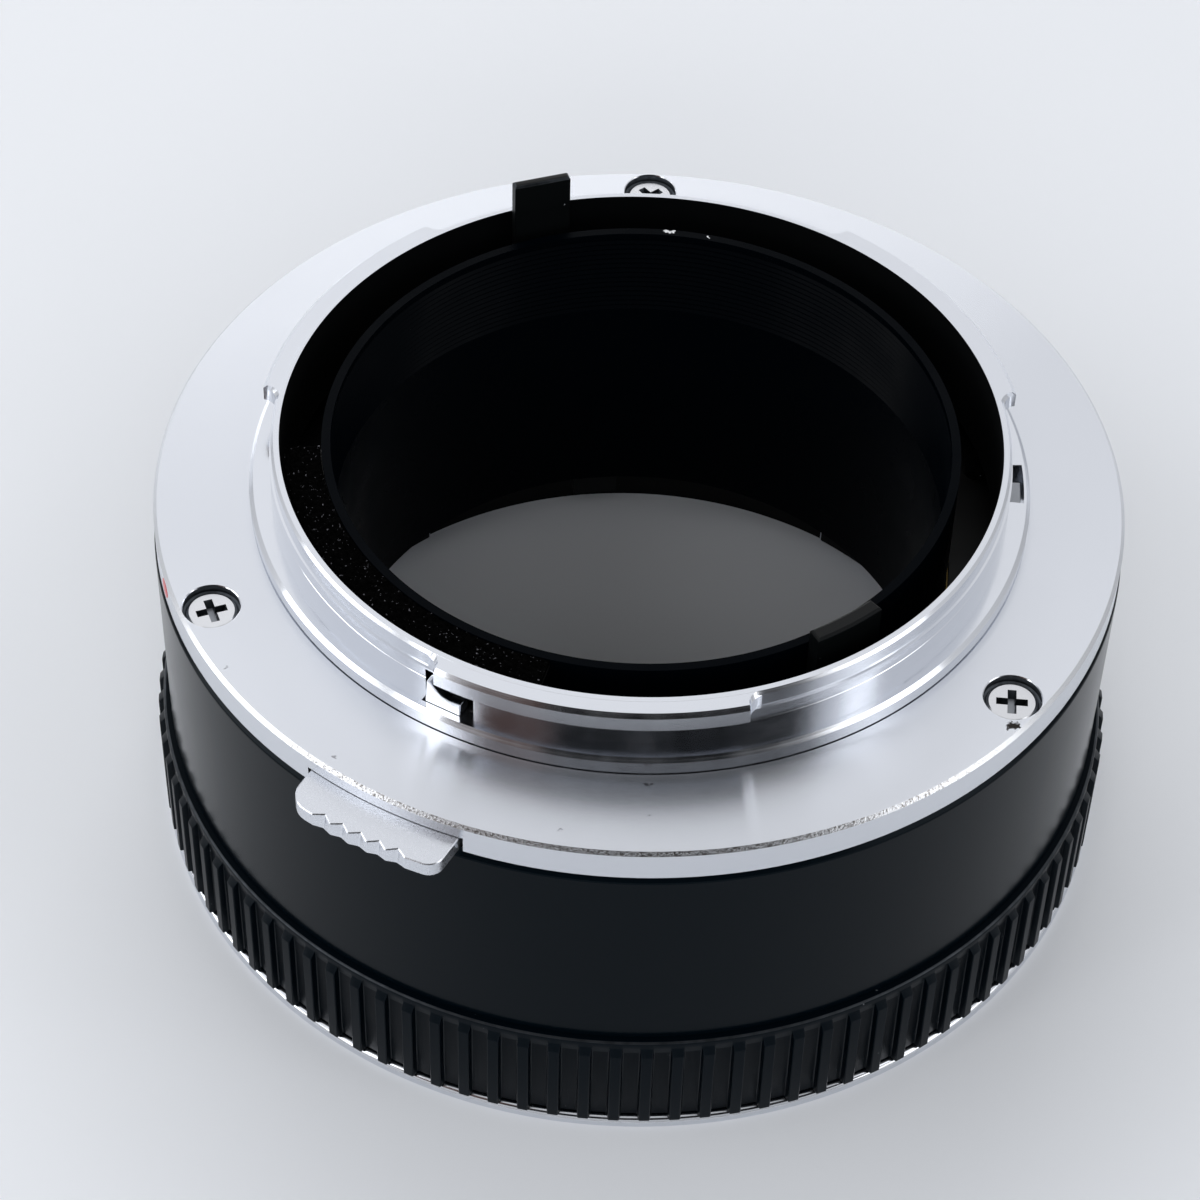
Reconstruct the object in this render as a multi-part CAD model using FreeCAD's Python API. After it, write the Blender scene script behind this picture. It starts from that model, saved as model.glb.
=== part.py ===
import FreeCAD, Part
import math
import os

os.makedirs("parts", exist_ok=True)

V = FreeCAD.Vector
ORIGIN = V(0, 0, 0)
AXIS = V(0, 0, 1)

# Lengths along the axis; the lens seat is z = 0 and the camera seat is z = EXTENSION
EXTENSION = 25.0
FLANGE_T = 2.07
BAYONET_H = 4.36
COLLAR_H = 1.16
LUG_T = 1.21
RIM_DROP = 0.56
LENS_ROOM = 6.8
SEAT_RIM = 0.65
PLATE_T = 1.6
GRIP_H = 7.35

# Radii from the light path outwards, each one built on the one before
LIGHT_R = 19.0
TUBE_WALL = 0.55
RUN_FIT = 0.08
COUPLING_W = 0.87
RING_GAP = 0.30
DIAPHRAGM_W = 1.37
RIM_W = 1.75
SHELF_W = 2.3
SEAT_FIT = 0.2
BARREL_WALL = 3.6
SEAT_PROUD = 0.8
LEVER_T = 0.70
BORE_GAP = 0.60
NECK_WALL = 0.64
GAP_STEP = 0.14
LUG_DEPTH = 0.83
COLLAR_STEP = 0.50
MATE_FIT = 0.15

# Clearances between neighbouring pieces, and how far a cutter runs past a piece
SLIP = 0.05
CLEAR = 0.15
RUN_AXIAL = 0.12
OVER = 1.0

# Screw heads: the slot as shares of the head's radius, and a plain head's radius as a share of the shank's
SLOT_W = 0.28
SLOT_DEPTH = 0.45
SLOT_REACH = 0.65
SLOT_TURN = 35.0
HEAD_SHARE = 1.8

# Release slide
SLIDE_AZ = 242.3
SLIDE_T = 1.0
SLIDE_TRAVEL = 1.4
SLOT_GAP = 0.23
TAB_PROUD = 2.5
TAB_DEPTH = 4.86
TAB_HALF = 4.97
TAB_CORNER_LEFT = 1.2
TAB_CORNER_RIGHT = 0.6
STEM_HALF = 2.2
NOTCHES = 5
NOTCH_STEP = 2.18
NOTCH_DEPTH = 0.42
NOTCH_FOOT = 0.16

# Lock tongue; the ramp is given as shares of the half width and of the ramp's rise
TONGUE_HALF = 1.27
TONGUE_T = 0.95
TONGUE_DROP = 0.2
RAMP_RISE = 0.95
RAMP = ((1.0, 0.1), (0.36, 0.0), (0.0, 0.19), (-0.36, 0.58), (-0.59, 1.0), (-0.76, 1.0))
WINDOW_GAP = 0.33
WINDOW_SIDE = 0.14

# Camera-side mount
RIM_CHAMFER = 0.3
COLLAR_CHAMFER = 0.25
TOP_CHAMFER = 0.16
LUG_CHAMFER = 0.25
LUG_MIDDLES = (264.1, 151.15, 34.15)
LUG_HALF = 22.7
LUG_MILL_R = 1.2
SPIGOT_H = 1.0
SPIGOT_W = 1.4
DOT_AZ = 199.4
DOT_R = 0.65
DOT_DEPTH = 0.4

# Screws of the camera-side mount
MOUNT_SCREW_R = 0.85
MOUNT_HEAD_R = 1.47
MOUNT_HEAD_H = 0.15
MOUNT_CONE = 0.65
MOUNT_SCREW_LEN = 5.0
MOUNT_SCREW_AZ = (90.2, 206.0, 322.8)
MOUNT_SCREW_OUT = 1.512
SCREW_SINK = 0.4
RECESS_GAP = 0.25

# Bayonet stop
STOP_MIDDLE = 359.5
STOP_HALF = 4.1
STOP_W = 0.92
STOP_DEPTH = 1.5
STOP_SHARE = 0.58
STOP_GAP = 0.2

# Springs and keeper of the release slide
SPRING_AT = 3.5
SPRING_COIL_R = 0.40
SPRING_LEN = 3.2
SPRING_WIRE = 0.2
SPRING_TURNS = 4
KEEPER_HALF = 6.2
KEEPER_T = 0.75
KEEPER_BACK = 1.0
KEEPER_BITE = 1.242
KEEPER_SCREW_AT = 5.3
KEEPER_SCREW_OUT = 0.9
KEEPER_SCREW_R = 0.5
KEEPER_HEAD_H = 0.5

# Barrel
SHELF_T = 3.0
SHELF_TOP = 14.0
GRIP_WALL = 1.15
EDGE_CHAMFER = 0.3
EDGE_LIP = 0.15

# Grip ring
RIBS = 104
RIB_H = 0.42
RIB_SHARE = 0.36
RIB_FOOT = 0.46
GRIP_STEP = 0.43
GRIP_BEAD = 0.5
BEAD_R = 0.12

# Lens-side mount, its screws and leaf springs
SEAT_ROUND = 0.45
CATCH_HALF = 22.0
FRONT_SCREWS = 4
FRONT_SCREW_R = 0.65
FRONT_HEAD_R = 1.2
FRONT_CONE = 0.7
FRONT_SCREW_LEN = 5.0
FRONT_SCREW_AZ = 20.0
FRONT_SINK = 0.1
LEAF_T = 0.2
LEAF_BACK = 2.0
LEAF_SCREW_R = 0.5
LEAF_HEAD_H = 0.5
LEAF_BITE = 1.0

# Transmission rings and their legs
RING_H = 2.85
FOOT_H = 1.4
FREE_ANGLE = 1.5
DIAPHRAGM_AZ = 109.7
DIAPHRAGM_TURN = 20.0
DIAPHRAGM_HALF = 1.87
DIAPHRAGM_RISE = 7.26
PUSHER_BACK = 11.0
PUSHER_HALF = 1.5
PUSHER_LOW = 3.6
COUPLING_AZ = 307.2
COUPLING_TURN = 25.0
COUPLING_STEM = 4.3
COUPLING_HEAD = 6.4
COUPLING_HEAD_LOW = 0.5
COUPLING_RISE = 5.1
COUPLING_T = 0.95
FORK_HALF = 7.0
FORK_GAP = 2.5
FORK_LOW = 4.2
FORK_SLOT = 4.0

# Inner tube with its screws, retainer plate and hairpin springs
TUBE_FLANGE_T = 1.5
TUBE_SCREWS = 3
TUBE_SCREW_R = 0.65
TUBE_HEAD_H = 0.9
TUBE_SCREW_AZ = 45.0
TUBE_SCREW_LEN = 4.0
RETAINER_T = 0.7
RETAINER_SCREW_R = 0.45
RETAINER_SCREW_AZ = (20.0, 185.0, 265.0)
RETAINER_SCREW_LEN = 3.0
RETAINER_HEAD_H = 0.5
POST_R = 0.45
POST_H = 2.1
POST_AHEAD = 6.0
REST_AHEAD = 12.0
HAIRPIN_WIRE = 0.3
HAIRPIN_H = 0.9
HAIRPIN_LIFT = 0.4

# Light trap
TRAP_MIDDLE = 221.0
TRAP_HALF = 35.0
TRAP_T = 0.3
FLOCK_T = 0.3

tube_r = LIGHT_R + TUBE_WALL
coupling_in = tube_r + RUN_FIT
coupling_out = coupling_in + COUPLING_W
diaphragm_in = coupling_out + RING_GAP
diaphragm_out = diaphragm_in + DIAPHRAGM_W
rim_in = diaphragm_out + RUN_FIT
rim_out = rim_in + RIM_W
shelf_r = rim_out + SHELF_W
barrel_in = shelf_r + SEAT_FIT
barrel_r = barrel_in + BARREL_WALL
flange_r = barrel_r - 2 * SLIP
seat_r = barrel_r + SEAT_PROUD
lever_out = diaphragm_in + LEVER_T
bore_r = lever_out + BORE_GAP
neck_r = bore_r + NECK_WALL
gap_r = neck_r - GAP_STEP
lug_r = neck_r + LUG_DEPTH
collar_r = lug_r + COLLAR_STEP

flange_low = EXTENSION - FLANGE_T
bayonet_top = EXTENSION + BAYONET_H
lug_low = bayonet_top - LUG_T
collar_top = EXTENSION + COLLAR_H
tube_top = bayonet_top - RIM_DROP


def turned(points):
    """Solid of revolution from a closed profile of radius and height."""
    corners = [V(r, 0, z) for r, z in points]
    face = Part.Face(Part.makePolygon(corners + corners[:1]))
    return face.revolve(ORIGIN, AXIS, 360)


def ring(r_in, r_out, z0, z1):
    return turned([(r_in, z0), (r_out, z0), (r_out, z1), (r_in, z1)])


def sector(r_in, r_out, z0, z1, middle, half):
    """Part of a ring, half the given angle to each side of its middle."""
    corners = [V(r_in, 0, z0), V(r_out, 0, z0), V(r_out, 0, z1), V(r_in, 0, z1)]
    face = Part.Face(Part.makePolygon(corners + corners[:1]))
    shape = face.revolve(ORIGIN, AXIS, 2 * half)
    shape.rotate(ORIGIN, AXIS, middle - half)
    return shape


def block(azimuth, r0, r1, half, z0, z1, aside=0.0):
    """Box lying along a radius."""
    shape = Part.makeBox(r1 - r0, 2 * half, z1 - z0, V(r0, aside - half, z0))
    shape.rotate(ORIGIN, AXIS, azimuth)
    return shape


def post(azimuth, r, radius, z0, z1, aside=0.0):
    """Upright round pin at a radius and azimuth."""
    shape = Part.makeCylinder(radius, z1 - z0, V(r, aside, z0))
    shape.rotate(ORIGIN, AXIS, azimuth)
    return shape


def screw(shank_r, head_r, head_h, length, cone, slots):
    """Screw standing on its tip with the head's top at z = 0."""
    low = -head_h - cone
    shape = turned([(0, -length), (shank_r, -length), (shank_r, low), (head_r, -head_h), (head_r, 0), (0, 0)])
    width = head_r * SLOT_W
    reach = head_r * SLOT_REACH
    depth = min(head_h + cone, head_r) * SLOT_DEPTH
    for turn in range(slots):
        slot = Part.makeBox(2 * reach, width, depth, V(-reach, -width / 2, -depth))
        slot.rotate(ORIGIN, AXIS, 90 * turn + SLOT_TURN)
        shape = shape.cut(slot)
    return shape


def placed(shape, azimuth, r, z, flip=False, aside=0.0):
    """Copy of a shape moved to a radius, azimuth and height."""
    moved = shape.copy()
    if flip:
        moved.rotate(ORIGIN, V(1, 0, 0), 180)
    moved.translate(V(r, aside, z))
    moved.rotate(ORIGIN, AXIS, azimuth)
    return moved


def run_slot(r_in, r_out, z0, z1, azimuth, half, turn):
    """Arc slot that a lever sweeps through over its whole turn."""
    return sector(r_in, r_out, z0, z1, azimuth + turn / 2, half + turn / 2 + FREE_ANGLE)


def export(name, shapes):
    shape = shapes[0] if len(shapes) == 1 else Part.makeCompound(shapes)
    shape.exportStep("parts/" + name + ".step")


# Release slide: a chrome push tab on a stem that runs in the flange's underside
slide_low = flange_low + SLIP
slide_top = slide_low + SLIDE_T
slot_top = slide_top + SLIP
tab_out = flange_r + TAB_PROUD
tab_in = tab_out - TAB_DEPTH
tongue_in = neck_r - TONGUE_T / 2 + CLEAR
tongue_out = tongue_in + TONGUE_T
slot_in = tab_in - SLIDE_TRAVEL - CLEAR

tab = Part.makeBox(TAB_DEPTH, 2 * TAB_HALF, SLIDE_T, V(tab_in, -TAB_HALF, slide_low))
tab = tab.common(Part.makeCylinder(tab_out, SLIDE_T + 2 * OVER, V(0, 0, slide_low - OVER)))
for corner, side in ((TAB_CORNER_LEFT, -TAB_HALF), (TAB_CORNER_RIGHT, TAB_HALF)):
    upright = [e for e in tab.Edges if abs(e.Vertexes[0].Z - e.Vertexes[-1].Z) > SLIDE_T / 2]
    tips = [e for e in upright if abs(e.CenterOfMass.y - side) < SLIP and e.CenterOfMass.x > tab_in + SLIDE_T]
    tab = tab.makeFillet(corner, tips)

# Its thumb notches are V cuts that lean outwards, deeper at the top than at the foot
half_notch = tab_out * math.radians(NOTCH_STEP) / 2
lean = (NOTCH_DEPTH - NOTCH_FOOT) / SLIDE_T
notch_top = slide_top + SLIP
apex = tab_out - NOTCH_DEPTH - lean * SLIP
mouth_half = half_notch * (tab_out + OVER - apex) / NOTCH_DEPTH
corners = [V(apex, 0, notch_top), V(tab_out + OVER, -mouth_half, notch_top), V(tab_out + OVER, mouth_half, notch_top)]
notch_face = Part.Face(Part.makePolygon(corners + corners[:1]))
notch_run = SLIDE_T + 2 * SLIP
notch = notch_face.extrude(V(lean * notch_run, 0, -notch_run))
for i in range(NOTCHES):
    tab = tab.cut(placed(notch, (i - (NOTCHES - 1) / 2) * NOTCH_STEP, 0, 0))
stem = Part.makeBox(tab_in - tongue_in + SLIP, 2 * STEM_HALF, SLIDE_T, V(tongue_in, -STEM_HALF, slide_low))
slide = tab.fuse(stem).removeSplitter()
slide.rotate(ORIGIN, AXIS, SLIDE_AZ)
export("release_slide", [slide])

# Lock tongue: the upright block on the stem that catches the camera's bayonet, with a ramped top
tongue_top = lug_low - TONGUE_DROP
ramp_low = tongue_top - RAMP_RISE
side_view = [V(tongue_in, -TONGUE_HALF, slide_top), V(tongue_in, TONGUE_HALF, slide_top)]
side_view += [V(tongue_in, across * TONGUE_HALF, ramp_low + rise * RAMP_RISE) for across, rise in RAMP]
tongue = Part.Face(Part.makePolygon(side_view + side_view[:1])).extrude(V(TONGUE_T, 0, 0))
tongue.rotate(ORIGIN, AXIS, SLIDE_AZ)
export("lock_tongue", [tongue])

# Camera-side mount: one turned and milled chrome ring with flange, collar, neck and three lugs
spigot_r = barrel_in - SLIP
mount_screw_at = barrel_in + MOUNT_SCREW_OUT
mount = turned([
    (bore_r, flange_low), (flange_r, flange_low), (flange_r, EXTENSION - RIM_CHAMFER),
    (flange_r - RIM_CHAMFER, EXTENSION), (collar_r, EXTENSION), (collar_r, collar_top - COLLAR_CHAMFER),
    (collar_r - COLLAR_CHAMFER, collar_top), (neck_r, collar_top), (neck_r, lug_low), (gap_r, lug_low),
    (gap_r, bayonet_top - TOP_CHAMFER), (gap_r - TOP_CHAMFER, bayonet_top), (bore_r, bayonet_top)])
mount = mount.fuse(ring(spigot_r - SPIGOT_W, spigot_r, flange_low - SPIGOT_H, flange_low))

# Each lug runs out at both ends in the round of the cutter that milled the gaps between the lugs
lug_profile = [
    V(bore_r + SLIP, 0, lug_low), V(lug_r, 0, lug_low), V(lug_r, 0, bayonet_top - LUG_CHAMFER),
    V(lug_r - LUG_CHAMFER, 0, bayonet_top), V(bore_r + SLIP, 0, bayonet_top)]
lug_face = Part.Face(Part.makePolygon(lug_profile + lug_profile[:1]))
mill_at = gap_r + LUG_MILL_R - SLIP
lug_reach = LUG_HALF + math.degrees(LUG_MILL_R / mill_at)
for middle in LUG_MIDDLES:
    lug = lug_face.revolve(ORIGIN, AXIS, 2 * lug_reach)
    lug.rotate(ORIGIN, AXIS, middle - lug_reach)
    for end in (middle - lug_reach, middle + lug_reach):
        lug = lug.cut(post(end, mill_at, LUG_MILL_R, lug_low - OVER, bayonet_top + OVER))
    mount = mount.fuse(lug)
mount = mount.removeSplitter()

# Room for the slide, the tongue, the springs and the keeper
window_top = tongue_top + 2 * SLIP
slide_room = flange_low - SLIP
mount = mount.cut(block(SLIDE_AZ, slot_in, tab_out, TAB_HALF + SLOT_GAP, slide_room, slot_top))
mount = mount.cut(block(SLIDE_AZ, LIGHT_R, tab_in, STEM_HALF + CLEAR, slide_room, slot_top))
mount = mount.cut(block(
    SLIDE_AZ, LIGHT_R, tongue_out + CLEAR, TONGUE_HALF + WINDOW_GAP, flange_low, window_top, WINDOW_SIDE))
spring_mid = (slide_low + slide_top) / 2
spring_in = tab_in - SPRING_LEN
pocket_half = SPRING_COIL_R + 2 * CLEAR
for side in (-SPRING_AT, SPRING_AT):
    mount = mount.cut(block(SLIDE_AZ, spring_in, tab_in, pocket_half, slide_room, slot_top, side))
keeper_out = barrel_in - KEEPER_BACK
keeper_low = flange_low - KEEPER_T
keeper_room = flange_low - SPIGOT_H - SLIP
mount = mount.cut(block(SLIDE_AZ, bore_r, barrel_in, KEEPER_HALF + CLEAR, keeper_room, flange_low))
keeper_screw_len = KEEPER_T + KEEPER_BITE
keeper_screw_at = (spring_in + neck_r) / 2 + KEEPER_SCREW_OUT
keeper_hole_r = KEEPER_SCREW_R + SLIP / 2
for side in (-KEEPER_SCREW_AT, KEEPER_SCREW_AT):
    hole_top = keeper_low + keeper_screw_len
    mount = mount.cut(post(SLIDE_AZ, keeper_screw_at, keeper_hole_r, slide_room, hole_top, side))

# Pocket for the bayonet stop, screw recesses and the index dot's hole
stop_low = collar_top - STOP_DEPTH
pocket_out = neck_r + STOP_W
mount = mount.cut(sector(neck_r, pocket_out, stop_low, collar_top + SLIP, STOP_MIDDLE, STOP_HALF))
screw_top = EXTENSION - SCREW_SINK
recess_r = MOUNT_HEAD_R + RECESS_GAP
recess_low = screw_top - MOUNT_HEAD_H - MOUNT_CONE
shank_room = MOUNT_SCREW_R + SLIP
for azimuth in MOUNT_SCREW_AZ:
    recess = turned([
        (0, flange_low - SLIP), (shank_room, flange_low - SLIP), (shank_room, recess_low),
        (MOUNT_HEAD_R + SLIP, recess_low + MOUNT_CONE), (recess_r, recess_low + MOUNT_CONE),
        (recess_r, EXTENSION + SLIP), (0, EXTENSION + SLIP)])
    mount = mount.cut(placed(recess, azimuth, mount_screw_at, 0))
dot_z = EXTENSION - FLANGE_T / 2
dot = Part.makeCylinder(DOT_R, DOT_DEPTH + OVER, V(flange_r - DOT_DEPTH, 0, dot_z), V(1, 0, 0))
dot.rotate(ORIGIN, AXIS, DOT_AZ)
dot = dot.common(ring(bore_r, flange_r, flange_low, EXTENSION))
mount = mount.cut(dot)
export("rear_mount", [mount])

# Red index dot let into the flange's edge
export("index_dot", [dot])

# Three cross-head screws that hold the camera-side mount on the barrel
mount_screw = screw(MOUNT_SCREW_R, MOUNT_HEAD_R, MOUNT_HEAD_H, MOUNT_SCREW_LEN, MOUNT_CONE, 2)
export("rear_mount_screws", [placed(mount_screw, a, mount_screw_at, screw_top) for a in MOUNT_SCREW_AZ])

# Bayonet stop: a blackened block in the pocket of the collar's ledge
stop_top = collar_top - CLEAR
stop_half = STOP_HALF * STOP_SHARE
stop_middle = STOP_MIDDLE - STOP_HALF + stop_half
export("bayonet_stop", [sector(neck_r, pocket_out - STOP_GAP, stop_low, stop_top, stop_middle, stop_half)])

# Two coil springs that push the release slide back out
spring_free = SPRING_LEN - 2 * SLIP - SPRING_WIRE
coil_path = Part.makeHelix(spring_free / SPRING_TURNS, spring_free, SPRING_COIL_R)
half_wire = SPRING_WIRE / 2
wire_corners = [
    V(SPRING_COIL_R - half_wire, 0, -half_wire), V(SPRING_COIL_R + half_wire, 0, -half_wire),
    V(SPRING_COIL_R + half_wire, 0, half_wire), V(SPRING_COIL_R - half_wire, 0, half_wire)]
wire_section = Part.makePolygon(wire_corners + wire_corners[:1])
coil = Part.Wire(coil_path.Edges).makePipeShell([wire_section], True, True)
coil.rotate(ORIGIN, V(0, 1, 0), 90)
coil_in = spring_in + SLIP + half_wire
export("release_springs", [
    placed(coil, SLIDE_AZ, coil_in, spring_mid, False, side) for side in (-SPRING_AT, SPRING_AT)])

# Keeper plate under the slide, with its two screws
keeper_in = neck_r - SLIP
keeper = block(SLIDE_AZ, keeper_in, keeper_out, KEEPER_HALF, keeper_low, flange_low)
keeper_screw = screw(
    KEEPER_SCREW_R, KEEPER_SCREW_R * HEAD_SHARE, KEEPER_HEAD_H, KEEPER_HEAD_H + keeper_screw_len - SLIP, 0.0, 1)
keeper_screws = []
for side in (-KEEPER_SCREW_AT, KEEPER_SCREW_AT):
    keeper = keeper.cut(post(SLIDE_AZ, keeper_screw_at, keeper_hole_r, keeper_low - OVER, flange_low + OVER, side))
    keeper_screws.append(placed(keeper_screw, SLIDE_AZ, keeper_screw_at, keeper_low - KEEPER_HEAD_H, True, side))
export("slide_keeper", [keeper])
export("keeper_screws", keeper_screws)

# Barrel: black turned sleeve with an inner shelf, a seat for the grip ring and a chamfered top edge
grip_low = SEAT_RIM
grip_top = grip_low + GRIP_H
shelf_low = SHELF_TOP - SHELF_T
grip_seat_r = barrel_r - GRIP_WALL
edge_r = barrel_r - EDGE_CHAMFER
edge_low = flange_low - EDGE_LIP
barrel = turned([
    (barrel_in, PLATE_T), (grip_seat_r, PLATE_T), (grip_seat_r, grip_top), (barrel_r, grip_top),
    (barrel_r, edge_low - EDGE_CHAMFER), (edge_r, edge_low), (edge_r, flange_low), (barrel_in, flange_low),
    (barrel_in, SHELF_TOP), (rim_out, SHELF_TOP), (rim_out, shelf_low), (barrel_in, shelf_low)])
mount_hole_low = screw_top - MOUNT_SCREW_LEN - CLEAR
for azimuth in MOUNT_SCREW_AZ:
    hole = post(azimuth, mount_screw_at, MOUNT_SCREW_R + SLIP / 2, mount_hole_low, flange_low + OVER)
    barrel = barrel.cut(hole)
front_screw_at = (barrel_in + grip_seat_r) / 2
front_screw_azimuths = [FRONT_SCREW_AZ + 360.0 / FRONT_SCREWS * i for i in range(FRONT_SCREWS)]
for azimuth in front_screw_azimuths:
    barrel = barrel.cut(post(azimuth, front_screw_at, FRONT_SCREW_R + SLIP / 2, 0, FRONT_SCREW_LEN + CLEAR))
tube_screw_at = (rim_out + shelf_r) / 2 + SLIP
tube_screw_azimuths = [TUBE_SCREW_AZ + 360.0 / TUBE_SCREWS * i for i in range(TUBE_SCREWS)]
tube_hole_low = SHELF_TOP - TUBE_SCREW_LEN + TUBE_FLANGE_T - CLEAR
for azimuth in tube_screw_azimuths:
    barrel = barrel.cut(post(azimuth, tube_screw_at, TUBE_SCREW_R + SLIP / 2, tube_hole_low, SHELF_TOP + OVER))
export("barrel", [barrel])

# Grip ring: straight ribs with sloped upper ends on a turned ring
base_r = barrel_r + GRIP_STEP
rib_r = base_r + RIB_H
rib_top = grip_top - GRIP_BEAD
pitch = 2 * math.pi / RIBS
outline = []
for i in range(RIBS):
    for r, share in ((base_r, -RIB_FOOT), (rib_r, -RIB_SHARE), (rib_r, RIB_SHARE), (base_r, RIB_FOOT)):
        angle = (i + share / 2) * pitch
        outline.append(V(r * math.cos(angle), r * math.sin(angle), grip_low))
ribs = Part.Face(Part.makePolygon(outline + outline[:1])).extrude(V(0, 0, rib_top - grip_low))
grip_in = grip_seat_r + SLIP
slope = turned([
    (grip_in, grip_low), (rib_r + OVER, grip_low), (rib_r + OVER, rib_top - RIB_H - OVER),
    (base_r - SLIP, rib_top + SLIP), (grip_in, rib_top + SLIP)])
ribs = ribs.common(slope)
crown_r = base_r + SLIP
crown = turned([
    (grip_in, rib_top), (crown_r, rib_top), (crown_r, grip_top - BEAD_R), (crown_r - BEAD_R, grip_top),
    (grip_in, grip_top)])
export("grip_ring", [ribs.fuse(crown)])

# Lens-side mount: chrome seat ring with a rounded edge, spigot and three inner lugs
throat_r = collar_r + MATE_FIT
pass_r = lug_r + MATE_FIT + SLIP
catch_r = neck_r + MATE_FIT + SLIP
throat_z = COLLAR_H + MATE_FIT
catch_z = BAYONET_H - LUG_T - MATE_FIT
front = turned([
    (throat_r, 0), (seat_r, 0), (seat_r, SEAT_RIM), (grip_seat_r - SLIP, SEAT_RIM),
    (grip_seat_r - SLIP, PLATE_T), (shelf_r, PLATE_T), (shelf_r, catch_z), (pass_r, catch_z),
    (pass_r, throat_z), (throat_r, throat_z)])
seat_edges = [
    e for e in front.Edges
    if all(abs(v.Z - SEAT_RIM) < SLIP and math.hypot(v.X, v.Y) > seat_r - SLIP for v in e.Vertexes)]
front = front.makeFillet(SEAT_ROUND, seat_edges)
for middle in LUG_MIDDLES:
    front = front.fuse(sector(catch_r, pass_r + SLIP, throat_z, catch_z, middle, CATCH_HALF))
front = front.removeSplitter()
leaf_screw_at = (pass_r + shelf_r) / 2
leaf_hole_r = LEAF_SCREW_R + SLIP / 2
for middle in LUG_MIDDLES:
    front = front.cut(post(middle, leaf_screw_at, leaf_hole_r, catch_z - LEAF_BITE - CLEAR, catch_z + OVER))
shank_room = FRONT_SCREW_R + SLIP
for azimuth in front_screw_azimuths:
    recess = turned([
        (0, -SLIP), (FRONT_HEAD_R + CLEAR, -SLIP), (FRONT_HEAD_R + SLIP, FRONT_SINK),
        (shank_room, FRONT_SINK + FRONT_CONE), (shank_room, PLATE_T + OVER), (0, PLATE_T + OVER)])
    front = front.cut(placed(recess, azimuth, front_screw_at, 0))
export("front_mount", [front])

# Four countersunk screws that hold the lens-side mount on the barrel
front_screw = screw(FRONT_SCREW_R, FRONT_HEAD_R, 0.0, FRONT_SCREW_LEN - FRONT_SINK, FRONT_CONE, 2)
front_screws = [placed(front_screw, a, front_screw_at, FRONT_SINK, True) for a in front_screw_azimuths]
export("front_mount_screws", front_screws)

# Leaf springs behind the lens-side lugs, each under one screw
leaf_top = catch_z + LEAF_T
leaf_screw_len = LEAF_HEAD_H + LEAF_T + LEAF_BITE
leaf_screw = screw(LEAF_SCREW_R, LEAF_SCREW_R * HEAD_SHARE, LEAF_HEAD_H, leaf_screw_len, 0.0, 1)
leaves = []
leaf_screws = []
for middle in LUG_MIDDLES:
    leaf = sector(catch_r + CLEAR, shelf_r - CLEAR, catch_z, leaf_top, middle, CATCH_HALF - LEAF_BACK)
    leaves.append(leaf.cut(post(middle, leaf_screw_at, leaf_hole_r, catch_z - OVER, leaf_top + OVER)))
    leaf_screws.append(placed(leaf_screw, middle, leaf_screw_at, leaf_top + LEAF_HEAD_H))
export("mount_leaf_springs", leaves)
export("leaf_spring_screws", leaf_screws)

# Heights shared by both transmission rings, their levers and the slots they run in
tube_flange_top = SHELF_TOP + TUBE_FLANGE_T
ring_low = tube_flange_top + RUN_AXIAL
ring_top = ring_low + RING_H
rim_top = ring_top + RUN_AXIAL
retainer_top = rim_top + RETAINER_T
foot_low = ring_top - FOOT_H
foot_high = ring_low + FOOT_H

# Diaphragm ring with its rear lever and front pusher let into notches
lever_half = math.degrees(math.asin(DIAPHRAGM_HALF / diaphragm_in))
pusher_half = math.degrees(math.asin(PUSHER_HALF / diaphragm_in))
pusher_az = DIAPHRAGM_AZ - PUSHER_BACK
lever_top = EXTENSION + DIAPHRAGM_RISE
lever = block(DIAPHRAGM_AZ, diaphragm_in, lever_out, DIAPHRAGM_HALF, foot_low, lever_top)
top_edges = [e for e in lever.Edges if all(abs(v.Z - lever_top) < SLIP for v in e.Vertexes)]
lever = lever.makeChamfer(CLEAR, top_edges)
pusher = block(pusher_az, diaphragm_in, lever_out, PUSHER_HALF, PUSHER_LOW, foot_high)
diaphragm = ring(diaphragm_in, diaphragm_out, ring_low, ring_top)
diaphragm = diaphragm.cut(block(DIAPHRAGM_AZ, LIGHT_R, lever_out, DIAPHRAGM_HALF, foot_low, ring_top + OVER))
diaphragm = diaphragm.cut(block(pusher_az, LIGHT_R, lever_out, PUSHER_HALF, ring_low - OVER, foot_high))
export("diaphragm_ring", [diaphragm])
export("diaphragm_lever", [lever])
export("diaphragm_pusher", [pusher])

# Coupling ring with its rear lever and front fork let into notches
stem_in = coupling_in + CLEAR
head_low = EXTENSION + COUPLING_HEAD_LOW
head_top = EXTENSION + COUPLING_RISE
stem = sector(stem_in, coupling_out, foot_low, head_low + SLIP, COUPLING_AZ, COUPLING_STEM)
head = sector(stem_in, stem_in + COUPLING_T, head_low, head_top, COUPLING_AZ, COUPLING_HEAD)
head_edges = [e for e in head.Edges if all(abs(v.Z - head_top) < SLIP for v in e.Vertexes)]
head = head.makeChamfer(CLEAR, head_edges)
fork = sector(stem_in, coupling_out, FORK_LOW, foot_high, COUPLING_AZ, FORK_HALF)
fork = fork.cut(sector(LIGHT_R, diaphragm_out, FORK_LOW - OVER, FORK_LOW + FORK_SLOT, COUPLING_AZ, FORK_GAP))
coupling = ring(coupling_in, coupling_out, ring_low, ring_top)
notch_out = coupling_out + OVER
coupling = coupling.cut(sector(LIGHT_R, notch_out, foot_low, ring_top + OVER, COUPLING_AZ, COUPLING_STEM))
coupling = coupling.cut(sector(LIGHT_R, notch_out, ring_low - OVER, foot_high, COUPLING_AZ, FORK_HALF))
export("coupling_ring", [coupling])
export("coupling_lever", [stem.fuse(head).removeSplitter()])
export("coupling_fork", [fork])

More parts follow.
